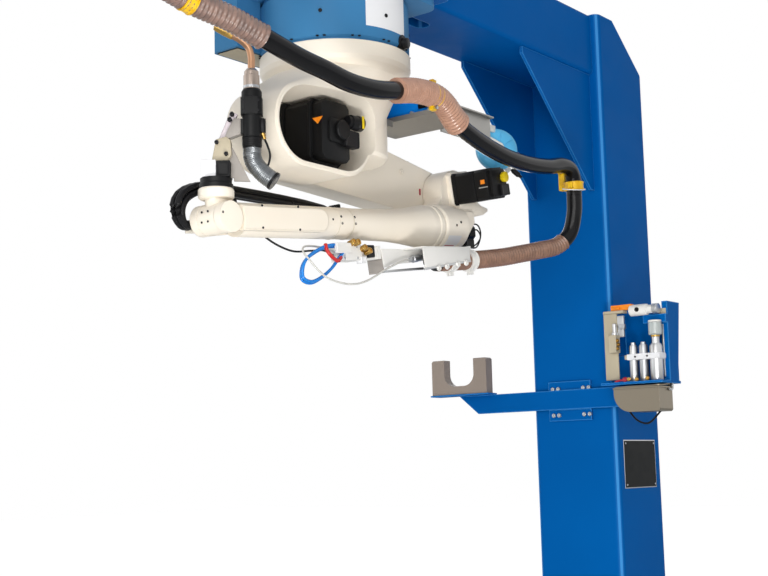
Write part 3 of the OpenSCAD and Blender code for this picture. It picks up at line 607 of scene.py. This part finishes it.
front = [Vector((max(p.x, BOOM_REACH), p.y, p.z)) for p in walk(route, 0, SWIVEL_START, STEP)]
middle = walk(route, SWIVEL_START, BEHIND, STEP)
behind = walk(route, BEHIND, AT_ARM, STEP)
below = walk(route, AT_ARM, LAST, STEP)
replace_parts(hang(tube("hose_to_swivel", front, HOSE_R, hose_skin, sides=8)), "hose_beam")
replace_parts(tube("hose_on_swivel", middle, HOSE_R, hose_skin, SWIVEL, 8), "hose_swivel")
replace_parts(hang(tube("hose_behind_arm", behind, HOSE_R, hose_skin, sides=8)), "hose_rear")
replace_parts(hang(tube("hose_to_elbow", below, HOSE_R, hose_skin, sides=8)), "hose_elbow")


def rim(share):
    """A rolled end on a sleeve."""
    return 1.0 + 0.05 * max(0.0, (share - 0.985) / 0.015)


def flare(share):
    """A sleeve end that gapes where the hose leaves it on a bend."""
    return 1.0 + 0.1 * max(0.0, (share - 0.72) / 0.28) ** 1.5


rib = {"sides": 8, "ridge": 1.4, "pitch": 11}
hang(tube("sleeve_front", walk(route, *SLEEVE_A, 1.8), 28, sleeve_skin, sides=8, ridge=1.3, pitch=11,
          swell=rim))
# The holder's sleeve has the painted lighter colour of light shining through
hang(tube("sleeve_holder", walk(route, *SLEEVE_B, 1.6), 30.8, sleeve_painted_lit, sides=8, ridge=1.2, pitch=10,
          swell=flare))
hang(tube("sleeve_rear", walk(route, SLEEVE_C[0], AT_ARM, 1.6), 24.9, rear_sleeve, **rib))
hang(tube("sleeve_elbow", walk(route, AT_ARM, SLEEVE_C[1], 1.6), 24.9, rear_sleeve, **rib))

# ------ Mast fittings

# Hexagon bolts of the shelf arm, two at each corner of its plate
bolt_spots = [(-158, y, z) for y in (-66, -46, 46, 66) for z in (1400, 1484)]
screws("shelf_bolts", bolt_spots, AHEAD, 7.5, 7, MAST, zinc, 6)
screws("rest_bolts", [(-204, y, 1500) for y in (300, 344, 462, 506)], AHEAD, 4, 3, MAST, zinc)
# Thin aluminium edge round the plain nameplate, and its drive rivets
block("nameplate_edge", (-108, -151, 1164), (104, -149.6, 1316), aluminium, MAST, 0.4)
screws("nameplate_rivets", [(x, -152, z) for x in (-97, 92) for z in (1175, 1305)], NEAR, 3, 1.5,
    MAST, aluminium)
# Blank white label, a cable inlet and the screw pairs of the robot's base
wrapped("base_label", 194.7, 0.9, -116, -74, 2341, 2452, label_vinyl, BASE)
around = [radians(a + b) for a in range(-176, 184, 26) for b in (-2.6, 2.6)]
screws("base_screws", [(BASE_X + 195 * cos(a), 195 * sin(a), 2312) for a in around],
    (0, 0, -1), 4, 1.6, MAST)
for i, a in enumerate((-150, -98, -46)):
    out = (cos(radians(a)), sin(radians(a)), 0)
    screws(f"base_plug_{i}", [(BASE_X + 194 * out[0], 194 * out[1], 2376)], out, 5, 4, MAST)
inlet = (cos(radians(-77)), sin(radians(-77)), -0.1)
turned("base_inlet", (BASE_X + 184 * inlet[0], 184 * inlet[1], 2322), inlet,
    [(0, 22), (12, 22), (14, 20), (14, 15), (26, 14), (28, 11)], cable_black, MAST)
block("skirt_panel", (-1532, 127, 2311), (-1368, 204, 2316), beige_paint, MAST, 1, [((0, 0, -1), 9, 2)])

# ------ Swivel and feeder

steps = [(cut_square(124, 168, 8), -30, -16), (cut_square(116, 160, 16), -16, 62),
    (cut_square(120, 164, 14), 62, 70), (cut_square(104, 150, 12), 70, 104),
    (cut_square(60, 60, 8), 104, 110)]
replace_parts(stack("shoulder_motor_body", steps, motor_paint, side(SHOULDER), 1.5), "shoulder_motor")
turned("shoulder_cap", (-1413, -110, 2078), NEAR, [(0, 24), (3, 25), (9, 25), (12, 22)],
    motor_paint, SWIVEL)
turned("shoulder_plug", (-1392, -112, 2104), (1, -0.12, 0.02),
    [(0, 15), (10, 15), (11, 18.5), (30, 18.5), (32, 20), (46, 20), (49, 18)], cable_black, SWIVEL, 28)
block("shoulder_plug_mark", (-1360, -137.5, 2088), (-1353, -135, 2120), mark_yellow, SWIVEL, 0.8)
block("shoulder_plug_foot", (-1404, -121, 2040), (-1352, -96, 2082), cable_black, SWIVEL, 3, [(NEAR, 5, 2)])
plate("shoulder_mark", [(96, -8), (78, 9), (112, 9)], 0, 0.6, mark_orange, SHELL_FACE, 0)
screws("shoulder_screws", [(x, -69, z) for x in (-1476, -1374) for z in (2006, 2144)], NEAR,
    4.5, 3, SWIVEL)
# Sheet window, screws, latch and hinge of the wire feeder
block("feeder_window", (-1132.6, -186, 2183), (-1130.4, -142, 2213), plate_laminate, SWIVEL, 0.6,
    [(AHEAD, 4, 0.8)])
screws("feeder_screws", [(-1132, -194, 2219), (-1132, -132, 2219), (-1132, -60, 2219), (-1132, 20, 2219),
    (-1132, -120, 2177), (-1132, 20, 2177)], AHEAD, 4, 2.5, SWIVEL, zinc)
block("feeder_latch", (-1136, -128, 2163), (-1130, -116, 2178), zinc, SWIVEL, 1)
block("feeder_hinge", (-1120, -203, 2216), (-1086, -199.5, 2224), zinc, SWIVEL, 1)
# Holder and hanger bolts, with the wire ring that ties the hanger
for name, at_point in (("holder", 17), ("hanger", 27)):
    x, y, z = route[at_point]
    direction = (Vector(route[at_point + 1]) - Vector(route[at_point - 1])).normalized()
    across = direction.cross(Vector(UP)).normalized()
    if name == "hanger":
        across = Vector((0.8, -0.6, 0))
    turned(f"{name}_bolt", (x - across.x * 14, y - across.y * 14, z - 34), across,
        [(0, 4.5), (4, 4.5), (4, 2.5), (24, 2.5), (24, 4.5), (28, 4.5)], zinc, SWIVEL, 12)
ring = [(-434 + 44 * cos(a), -200 + 30 * sin(a), 2064 + 10 * cos(a - 0.7))
        for a in [2 * pi * k / 20 for k in range(21)]]
line("hanger_wire", ring, 1.6, label_vinyl, SWIVEL, 4)

# Spring balancer: drum with a raised rim and ribs, between two lacquered plates
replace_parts(turned("balancer_drum", (0, 0, 0), (0, 1, 0),
    [(-24, 12), (-24, 17), (-19, 17.5), (-18, 46), (-15, 55), (-9, 60.5), (9, 60.5), (15, 55), (18, 46),
    (19, 17.5), (24, 17), (24, 12)], balancer_paint, BALANCER, 56, 40), "spring_balancer")
yoke = [(-74, 42), (-64, 54), (10, 14), (52, -52), (40, -62), (-10, -12)]
for k, (low, high) in enumerate(((24.4, 28), (-28, -24.4))):
    plate(f"balancer_yoke_{k}", yoke, low, high, white_paint, side(BALANCER))
turned("balancer_pin", (-64, 0, 45), (0, 1, 0), [(-30, 6), (-30, 8), (-26, 8), (-26, 6), (26, 6), (26, 8),
    (30, 8)], zinc, BALANCER, 20)
for k in range(8):
    spoke = within(BALANCER, turn(45 * k + 12, "Y"))
    block(f"balancer_rib_{k}", (22, -21.5, -1.4), (52, -17.5, 1.4), balancer_paint, spoke, 0.8)
turned("balancer_hook", (44, 0, -56), (0.6, 0, -0.5), [(0, 5), (8, 8), (26, 8), (30, 5), (38, 4)],
    cable_black, BALANCER, 20)
block("balancer_tab", (-753, -108, 2203), (-711, -102, 2223), white_paint, SWIVEL, 1)

# ------ Arm and elbow

block("arm_brass_block", (-940, 62, 2098), (-908, 84, 2112), brass, ARM, 1.2, [(NEAR, 3, 1)])
turned("arm_plug", (-952, 55.2, 2074), NEAR, [(0, 8.5), (1.2, 8.5), (1.6, 7.5), (1.6, 4.5), (0.6, 4)],
    arm_paint, ARM, 24)
block("arm_slot_plug", (-870, 54.6, 2019), (-864, 57.5, 2038), mark_red, ARM)
screws("arm_hub_screws", [(x - 1425, 55.4, z + 2082) for x, z in round_spots(60, 8, 0.4)],
    NEAR, 4, 1.5, ARM)

# Elbow motor on its seat: flange, body, seam, cap and plug block
plate("elbow_seat", cut_square(102, 102, 9), -1, 23, arm_paint, side(MOTOR), 2)
steps = [(cut_square(92, 92, 6), 23.2, 34), (cut_square(88, 88, 8), 34, 98),
    (cut_square(82, 82, 8), 98, 101), (cut_square(88, 88, 8), 101, 142),
    (cut_square(74, 78, 9), 142, 155)]
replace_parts(stack("elbow_motor_body", steps, motor_paint, side(MOTOR), 1.2), "elbow_motor")
screws("elbow_motor_screws", [(x, -34, z) for x in (-38, 38) for z in (-38, 38)], NEAR, 4.5, 2.5, MOTOR)
turned("elbow_plug", (20, -154, 14), NEAR, [(0, 13), (4, 15), (12, 15), (13, 13)], mark_yellow, MOTOR, 24)
block("elbow_plug_foot", (-6, -166, -38), (32, -154, -6), cable_black, MOTOR, 2, [(NEAR, 4, 2)])
block("elbow_mark", (-44.6, -134, 2), (-43.6, -120, 14), mark_orange, MOTOR, 0.3)
block("elbow_mark_line", (-44.5, -142, -9), (-43.6, -112, -6), aluminium, MOTOR, 0.3)
# Lever at the back of the casting
plate("elbow_lever", [(-20, -20), (10, -8), (70, -14), (92, -22), (124, -26), (126, -34), (102, -48),
    (40, -64), (-10, -60)], 18, 36, arm_paint, side(PIVOT), 2)
# Blank label with a thin red band, and the screws of the drive housing
wrapped("elbow_label", 65.0, 0.6, -62, -24, 850, 912, label_vinyl, DRIVE_AXIS)
wrapped("elbow_label_band", 65.1, 0.8, -33, -30, 856, 900, mark_red, DRIVE_AXIS)
screws("drive_screws", [(882, -64.6, -2), (904, -64.6, 7)], NEAR, 3.6, 1.2, DRIVE)
screws("drive_lip_screws", [(838.5, y, z) for y, z in round_spots(50, 6, radians(15))], AHEAD, 3, 1, DRIVE)
# Connectors and thin wires behind the drive housing
block("roll_plug", (962, -40, -62), (1000, -6, -36), cable_black, DRIVE, 2.5, [(NEAR, 5, 2)])
line("roll_wire_a", [(1000, -24, -20), (1024, -34, -8), (1036, -38, -30), (1014, -34, -52),
    (996, -26, -54)], 2.2, cable_black, DRIVE, 5)
line("roll_wire_b", [(992, -22, 4), (1020, -40, 6), (1044, -34, -22), (1026, -28, -58), (994, -20, -58)],
    2.2, cable_black, DRIVE, 5)

# ------ Bracket, valves and air lines

# Sheet bracket: carrying plate, web cut away over a narrow rail, and the guard over the hose's end
sheet = [
    block("sheet_plate", (549, -48, -73), (943, 40, -70), white_paint, DRIVE, 0.8),
    plate("sheet_web", [(549, -73), (555, -119), (579, -119), (579, -112), (676, -106), (770, -98),
        (870, -88), (960, -82), (960, -70), (943, -70)], 45, 48, white_paint, side(DRIVE), 0.6),
    block("guard_top", (640, -116, -73), (858, -46, -70), white_paint, DRIVE, 0.8),
    plate("guard_web", [(640, -73), (644, -130), (741, -120), (809, -113), (858, -108), (858, -73)],
        113.2, 116, white_paint, side(DRIVE), 0.6)]
plate("sheet_end", [(549, -73), (555, -133), (559, -133), (553, -73)], -5, 45, bracket_grey,
    side(DRIVE), 0.6)
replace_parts(joined("hose_sheet", sheet), "hose_bracket")
plate("hose_rail", [(552, -133), (552, -127), (722, -119), (722, -126)], 44, 53, aluminium, side(DRIVE))
plate("guard_rail", [(640, -134), (640, -128), (858, -106), (858, -112)], 112, 118, aluminium, side(DRIVE))
screws("rail_nuts", [(699, -118, -129), (737, -118, -125), (790, -118, -119), (829, -118, -115)], NEAR, 8,
    6, DRIVE, white_paint, 6)
# Rubber boot that closes the hose behind the guard
turned("hose_boot", (-975.4, -76, 1798.1), (-0.99, 0.05, -0.1),
    [(-4, 23.5), (4, 25), (8, 25), (12, 22), (40, 13), (46, 12)], cable_black, ELBOW, 36)
turned("cable_gland", (662, -54, -99), (1, 0, 0.12),
    [(0, 4), (0.5, 7), (10, 8), (12, 10), (30, 10), (32, 8.5), (46, 8.5), (50, 6)], zinc, DRIVE, 16)
block("gland_foot", (690, -58, -92), (716, -47, -86), zinc, DRIVE, 1)
# Valve block with its brass fittings, coil and plug
screws("valve_screws", [(s, -45, z) for s in (400, 452) for z in (-66, -94)], NEAR, 3, 1.5, DRIVE, zinc)
for k, (s, z) in enumerate(((428, -58), (446, -58), (472, -72), (490, -80))):
    turned(f"valve_fitting_{k}", (s, -40, z), (0, -1, 0.25),
        [(0, 8), (7, 8), (7, 6), (12, 6), (12, 8.5), (19, 8.5), (20, 7), (20, 4.5), (17, 4)],
        brass, DRIVE, 16)
block("valve_coil", (497, -46, -92), (524, -18, -60), cable_black, DRIVE, 2, [(NEAR, 4, 1.5)])
block("valve_cap", (464, -48, -107), (484, -28, -91), label_vinyl, DRIVE, dents=[(NEAR, 3, 1)])
block("valve_body", (368, -51, -82), (424, -40, -56), white_paint, DRIVE, dents=[(NEAR, 5, 1.5)])

# Blue air line in a double loop, held by its fittings
loop = [(-1340, -44, 1790), (-1350, -40, 1806), (-1399, -39, 1797), (-1447, -39, 1774), (-1474, -39, 1752),
    (-1484, -39, 1728), (-1480, -39, 1709), (-1450, -39, 1704), (-1413, -39, 1719), (-1374, -39, 1745),
    (-1346, -39, 1773), (-1330, -42, 1792)]
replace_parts(line("air_loop_front", loop, 4, air_blue, ELBOW), "air_lines")
line("air_loop_back", [(x + 6, y + 11, z - 3) for x, y, z in loop], 4, air_blue, ELBOW)
line("air_red", [(-1398, -40, 1802), (-1401, -47, 1786), (-1386, -50, 1771), (-1358, -46, 1764),
    (-1340, -40, 1776)], 5, air_red, ELBOW)
line("signal_cable", [(-1082, -57, 1795), (-1105, -60, 1790), (-1130, -60, 1781), (-1186, -60, 1757),
    (-1262, -60, 1721), (-1330, -60, 1706), (-1405, -58, 1712), (-1442, -54, 1730), (-1464, -46, 1753),
    (-1472, -30, 1778), (-1440, -12, 1796), (-1380, -10, 1800), (-1330, -12, 1794)], 2.6, air_grey, ELBOW)
wrist_lead = line("wrist_lead", [(-1330, -6, 1786), (-1377, -14, 1792), (-1434, -20, 1784),
    (-1490, -20, 1776), (-1533, -16, 1782), (-1560, 2, 1800), (-1575, 30, 1830), (-1560, 56, 1868)],
    2.6, cable_black)
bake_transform(wrist_lead)

# ------ Forearm and wrist

screws("cover_screws", [(105, -47, -24), (236, -47, -26), (108, -47, 29), (236, -47, 30)], NEAR,
    3, 1.2, FOREARM)
screws("ring_screws", [(407, -38.6, 12), (408, -40, -5), (461, -38.6, 12), (462, -40, -5)], (0, -1, 0.1),
    3.4, 1.4, FOREARM)
screws("fork_screws", [(-27, -49.6, 9), (372, -40.5, 4)], NEAR, 3, 1.0, FOREARM)
seam = round_spots(41.4, 48)
for k, s in enumerate((399, 456)):
    points = [drum_frame @ (Vector((x, y, s)) * MM) for x, y in seam + seam[:1]]
    tube(f"forearm_seam_{k}", points, 0.9, arm_paint, FOREARM_WORLD, 2)
screws("wrist_screws", [(x, y, 66) for x, y in round_spots(30, 6)], UP, 3, 1, WRIST)
screws("wrist_side_screws", [(-36.8, y, z) for y in (-10, 10) for z in (-12, 12)], AHEAD, 2.6, 1, WRIST)
# Second layer of the wrist's cables, tied to the first
wrist_route = [(585, 61, 7), (570, 61, 7), (530, 62, 20), (450, 65, 50), (300, 68, 70), (150, 71, 84),
    (60, 72, 91), (5, 72, 88), (-38, 72, 70), (-57, 72, 42), (-54, 72, 14), (-38, 72, -6), (-26, 72, -9)]
second = [(x + 12, y, z - 14) for x, y, z in wrist_route[2:11]] + [(-26, 72, -3)]
for k, across in enumerate((-8.4, 8.4)):
    line(f"wrist_line_{k}", [(x, y + across, z) for x, y, z in second], 8, cable_black, FOREARM, 8)
for k, (s, y) in enumerate(((120, 66), (330, 70), (520, 74))):
    block(f"cable_tie_{k}", (s - 4, y - 19, 30), (s + 4, y + 19, 62), cable_black, FOREARM, 3)

# ------ Torch and tool

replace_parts(block("sensor_cube", (-31, -27, 95), (3, 27, 135), label_vinyl, TOOL, 2.5,
    [(AHEAD, 5, 0.8), (NEAR, 6, 0.8)]), "torch_mount")
block("sensor_back", (3, -26, 95), (36, 26, 133), motor_paint, TOOL, 2.5, [(NEAR, 6, 3)])
plate("mount_web", [(30, 96), (42, 96), (42, 88), (80, 86), (39, 168), (30, 168)], -4, 4,
    bracket_grey, side(TOOL))
plate("tilt_block", [(-8, 135), (30, 135), (38, 150), (36, 184), (26, 192), (2, 186)], -14, 14,
    beige_paint, side(TOOL), 1.6)
screws("tilt_screws", [(4, -14, 178), (26, -14, 150)], NEAR, 5, 7, TOOL)
block("clamp_bar", (-9, -7, -4), (9, 7, 74), bar_paint, TILT, 2, [(NEAR, 3, 0.8), (AHEAD, 3, 0.8)])
screws("clamp_bar_bolts", [(-2, -8, 68), (-2, -8, 54)], NEAR, 5.5, 9, TILT)
plate("clamp_arm", [(20, 184), (60, 198), (60, 234), (44, 236), (28, 206)], -12, 12, bracket_grey,
    side(TOOL), 1.6)
# Torch body trim: grip ribs, seam, switch, screws, and a brass fitting with a thin lead
for k in range(5):
    turned(f"torch_rib_{k}", (85, 0, 172 + 4.4 * k), UP,
        [(0, 22.6), (0.4, 23.5), (1.8, 23.5), (2.2, 22.6)], cable_black, TOOL)
turned("torch_seam", (85, 0, 241), UP, [(0, 22.4), (0.5, 23.6), (3, 23.6), (3.5, 22.4)],
    motor_paint, TOOL, 36)
block("torch_switch", (104, -9, 200), (117, 9, 236), cable_black, TOOL, 4, [((1, 0, 0), 4, 1)])
screws("torch_screws", [(x, -21.4, z) for x in (68, 102) for z in (252, 276)], NEAR, 3, 1.2, TOOL)
turned("torch_gas_fitting", (110, 0, 200), (0.3, 0, -1), [(0, 6), (6, 6), (6, 4.5), (14, 4.5), (15, 3.5)],
    brass, TOOL, 16)
line("torch_lead", [(114, 0, 186), (121, -3, 170), (127, -5, 145), (119, -4, 118), (100, 0, 112)], 2.6,
    cable_black, TOOL, 5)
# Neck in three finishes: nickel socket, copper bend, brass nozzle
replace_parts(turned("torch_socket", (85, 0, 306.3), UP,
    [(0, 19), (33, 19), (34, 17), (37, 17), (43, 17), (50, 11)], nickel, TOOL, 40), "torch_neck")
turned("torch_socket_ring", (85, 0, 308), UP, [(0, 19.1), (0.6, 19.7), (6, 19.7), (6.6, 19.1)],
    zinc, TOOL, 40)
bend = walk([(85, 0, 354), (85, 0, 370), (85, 0, 385), (79, 0, 408), (62, 0, 426), (40, 0, 440)], 0, 5, 3)
tube("torch_bend", bend, 8.5, copper, TOOL)
aim = (-sin(radians(62)), 0, cos(radians(62)))
turned("torch_nozzle", (40, 0, 440), aim, [(-4, 9.4), (0, 10.5), (24, 10.5), (26, 10), (35, 9.6), (45, 8),
    (45, 6), (38, 5.6)], brass, TOOL)
turned("torch_tip", (40, 0, 440), aim, [(36, 2.6), (47, 2.6), (48, 1.8)], copper, TOOL, 16)
# Spiral conduit under the torch, with its end ferrule
flex = walk([(85, 0, 163.7), (85, 0, 155), (85, 0, 146), (92, 0, 127), (112, 0, 103), (137, 0, 84)],
    0, 5, 0.8)
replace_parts(tube("torch_flex", flex, 21, conduit_metal, TOOL, 8, ridge=0.9, pitch=4.2), "torch_conduit")
turned("flex_ferrule", (130.6, 0, 88.8), (0.796, 0, -0.605),
    [(0, 21.2), (0.5, 22.6), (7, 22.6), (8, 20), (8.2, 15), (4, 14)], cable_black, TOOL, 40)

# ------ Torch cleaning station

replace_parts(block("cutter_plate", (-222, -209, 1497), (-218, -163, 1706), beige_paint, MAST, 0.8),
    "station_cutter")
block("cutter_bridge", (-226, -233, 1702), (-196, -164, 1711), beige_paint, MAST, dents=[(AHEAD, 2, 1)])
block("cutter_head", (-224, -262, 1711), (-204, -190, 1728), mark_orange, MAST, 2,
    [(AHEAD, 4, 1.5), (UP, 4, 1.5)])
block("cutter_tongue", (-232, -224, 1713), (-222, -196, 1718), mark_orange, MAST, 1)
turned("cutter_motor", (-214, -254, 1707), NEAR, [(0, 16), (2, 17.5), (40, 17.5), (42, 17.5), (56, 17),
    (58, 13), (76, 13)], white_paint, MAST, 36)
turned("cutter_coupling", (-214, -330, 1707), NEAR,
    [(0, 15), (1, 16), (5, 16), (6, 14.5), (9, 14.5), (10, 16), (14, 16), (15, 14.5), (17, 14.5),
    (18, 15.5)], aluminium, MAST, 36)
turned("cutter_port", (-231, -284, 1707), AHEAD, [(0, 7), (3, 7), (3, 5), (1, 4.6)], black_screw, MAST, 24)
block("cutter_front", (-248, -217, 1579), (-222, -190, 1634), beige_paint, MAST,
    dents=[(NEAR, 4, 1.5), (AHEAD, 5, 1.5)])
for k, z in enumerate((1592, 1604, 1616)):
    turned(f"cutter_jet_{k}", (-241 + 5 * (k % 2), -216, z), NEAR,
        [(0, 6), (3, 6), (3, 4.4), (6, 4.4), (6, 2.6), (4, 2.4)], brass, MAST, 16)
turned("cutter_spindle", (-232, -205, 1634), UP, [(0, 9), (8, 9), (10, 6), (34, 6), (36, 4.5)],
    aluminium, MAST, 24)
block("cutter_link", (-222, -232, 1628), (-214, -210, 1694), aluminium, MAST, dents=[(AHEAD, 4, 1.2)])
block("cutter_slide", (-226, -236, 1652), (-213, -214, 1668), zinc, MAST, 1.2)
block("frame_label", (-193.8, -362, 1672), (-192.9, -338, 1708), beige_paint, MAST, 0.3)
# Cylinders with their cups and the white clamp band
tanks = []
# Each has its place, radius, rim, the height where its shoulder begins, its top, finish and sides
for k, (y, wide, rim_r, belt, top, finish, sides) in enumerate((
        (-258, 13, 11, 106, 120, aluminium, 36), (-292, 13.5, 11.5, 106, 120, zinc, 36),
        (-334, 19.5, 15, 104, 132, aluminium, 40))):
    steps = [(0, wide - 1), (2, wide), (belt, wide), (112, rim_r), (112, 0.6 * wide), (top, 0.6 * wide)]
    tanks.append(turned(f"gas_cylinder_{k}", (-216, y, 1488), UP, steps, finish, MAST, sides))
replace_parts(tanks[0], "station_cylinders")
turned("cup_collar", (-216, -334, 1620), UP, [(0, 13), (1, 14.5), (5, 14.5), (6, 13)], brass, MAST)
turned("spray_cup", (-216, -334, 1626), UP, [(0, 17), (3, 20.5), (38, 20.5), (39, 19), (39, 17.5),
    (4, 17)], cup_clear, MAST, 40)
turned("spray_cup_cap", (-216, -334, 1665.4), UP, [(0, 19), (1.2, 20), (5, 20), (6, 18.5)],
    white_paint, MAST, 36)
block("clamp_band", (-238, -356, 1554), (-195, -245, 1572), label_vinyl, MAST, 2,
    [(AHEAD, 4, 0.8), (NEAR, 3, 0.6)])
screws("clamp_band_screws", [(-238, -314, 1563), (-238, -274, 1563)], AHEAD, 3, 1.6, MAST)
block("pipe_clip", (-234, -262, 1556), (-226, -236, 1570), beige_paint, MAST, 1.2)
for k, (y, z) in enumerate(((-250, 1496), (-276, 1494), (-312, 1496))):
    turned(f"cup_foot_{k}", (-236, y, z), AHEAD, [(0, 6), (4, 6), (4, 4), (9, 4)], brass, MAST, 12)
turned("drain_knob", (-232, -236, 1494), (-1, -0.2, 0.1), [(0, 7), (3, 8.5), (9, 8.5), (12, 6)],
    mark_red, MAST, 20)
line("drain_link", [(-240, -238, 1495), (-246, -222, 1493), (-244, -206, 1490)], 3, mark_red, MAST, 4)
# Wire rim and rubber latch of the drip tray, and the lead that droops below it
line("tray_rim", [(-258, -212, 1471), (-258.5, -260, 1472), (-258, -320, 1472), (-252, -357, 1473),
    (-232, -362, 1474), (-196, -362, 1478)], 2.6, stainless, MAST)
turned("latch_eye", (-186, -358, 1474), (-0.2, -1, 0), [(-3, 5), (-1, 8), (2, 8), (4, 5)],
    cable_black, MAST, 20)
line("latch_loop", [(-208, -359, 1476), (-196, -362, 1486), (-180, -362.5, 1484), (-172, -362, 1470),
    (-182, -362, 1460), (-198, -361, 1464)], 3, aluminium, MAST, 4)
line("station_lead", [(-196, -216, 1424), (-200, -226, 1402), (-200, -252, 1372), (-200, -288, 1362),
    (-200, -322, 1388), (-198, -345, 1416), (-190, -352, 1440)], 3, cable_black, MAST)
block("station_door_stay", (-196, -352, 1500), (-190, -346, 1660), aluminium, MAST, 1)

# ------ Stage

clear()
bpy.ops.mesh.primitive_plane_add(size=60, location=(0, 0, -0.0005))
floor = bpy.context.object
floor.name = "studio_floor"
floor_mat, floor_tree, floor_shader, floor_place = start_material("matt_studio_floor", Roughness=0.95)
floor_tree.links.new(mottle(floor_tree, floor_place, 1.5, srgb("E6E6E4"), srgb("EAEAE8")),
                     floor_shader.inputs["Base Color"])
# The floor shows as the white of the background where no shadow falls on it: between two
# distances in metres its glow grows from the weak to the strong value
NEAR_BY, FAR_OFF, WEAK, STRONG = 0.8, 4.5, 0.3, 0.6
away = node(floor_tree, "VectorMath", {"operation": "LENGTH"}, i0=floor_place)
spread = node(floor_tree, "MapRange",
              {"From Min": NEAR_BY, "From Max": FAR_OFF, "To Min": WEAK, "To Max": STRONG},
              i0=away.outputs["Value"])
glow = node(floor_tree, "Emission", {"Color": (1, 1, 1, 1)}, i1=spread.outputs["Result"])
seen_directly = node(floor_tree, "LightPath").outputs["Is Camera Ray"]
dark = node(floor_tree, "Emission", {"Strength": 0.0})
lift = node(floor_tree, "MixShader", i0=seen_directly, i1=dark.outputs[0], i2=glow.outputs[0])
both = node(floor_tree, "AddShader", i0=lift.outputs[0], i1=floor_shader.outputs[0])
floor_tree.links.new(both.outputs[0], floor_tree.nodes["Material Output"].inputs["Surface"])
floor.data.materials.append(floor_mat)
floor.select_set(False)

world = bpy.data.worlds.new("studio")
scene.world = world
world.use_nodes = True
wt = world.node_tree
back = wt.nodes["Background"]
back.inputs["Color"].default_value = (0.94, 0.97, 1.0, 1)
back.inputs["Strength"].default_value = 0.5
seen = node(wt, "Background", {"Color": (1, 1, 1, 1), "Strength": 1.0})
rays = node(wt, "LightPath")
mirror = node(wt, "Math", {"operation": "MAXIMUM"}, i0=rays.outputs["Is Glossy Ray"],
              i1=rays.outputs["Is Transmission Ray"])
white = node(wt, "Math", {"operation": "MAXIMUM"}, i0=rays.outputs["Is Camera Ray"],
             i1=mirror.outputs[0])
mix = node(wt, "MixShader", i0=white.outputs[0], i1=back.outputs[0], i2=seen.outputs[0])
wt.links.new(mix.outputs[0], wt.nodes["World Output"].inputs["Surface"])

# Soft boxes: place, what they aim at, size in metres, watts and colour
WARM, COOL, PLAIN = (1.0, 0.99, 0.97), (0.97, 0.98, 1.0), (1.0, 1.0, 1.0)
centre = (-1.0, 0.0, 1.9)
for name, place, target, size, watts, colour in (
        ("key", (-5.0, -1.6, 3.0), centre, 2.0, 48, WARM),
        ("front", (-3.9, -2.7, 1.8), (-1.4, 0, 2.0), 1.2, 26, WARM),
        ("fill", (-3.5, 3.8, 2.6), centre, 2.6, 20, COOL),
        ("low", (-3.4, -1.6, 0.5), centre, 2.2, 20, WARM),
        ("near", (-2.4, -1.3, 0.55), (-1.35, -0.1, 1.9), 0.5, 21, WARM),
        ("rear", (3.2, 2.6, 3.2), (-0.2, 0, 1.6), 2.2, 40, PLAIN)):
    light = bpy.data.lights.new(name, "AREA")
    light.energy = watts
    light.size = size
    light.color = colour
    lamp = bpy.data.objects.new(name, light)
    link(lamp)
    lamp.location = place
    lamp.rotation_euler = (Vector(target) - Vector(place)).to_track_quat("-Z", "Y").to_euler()

bpy.context.view_layer.update()
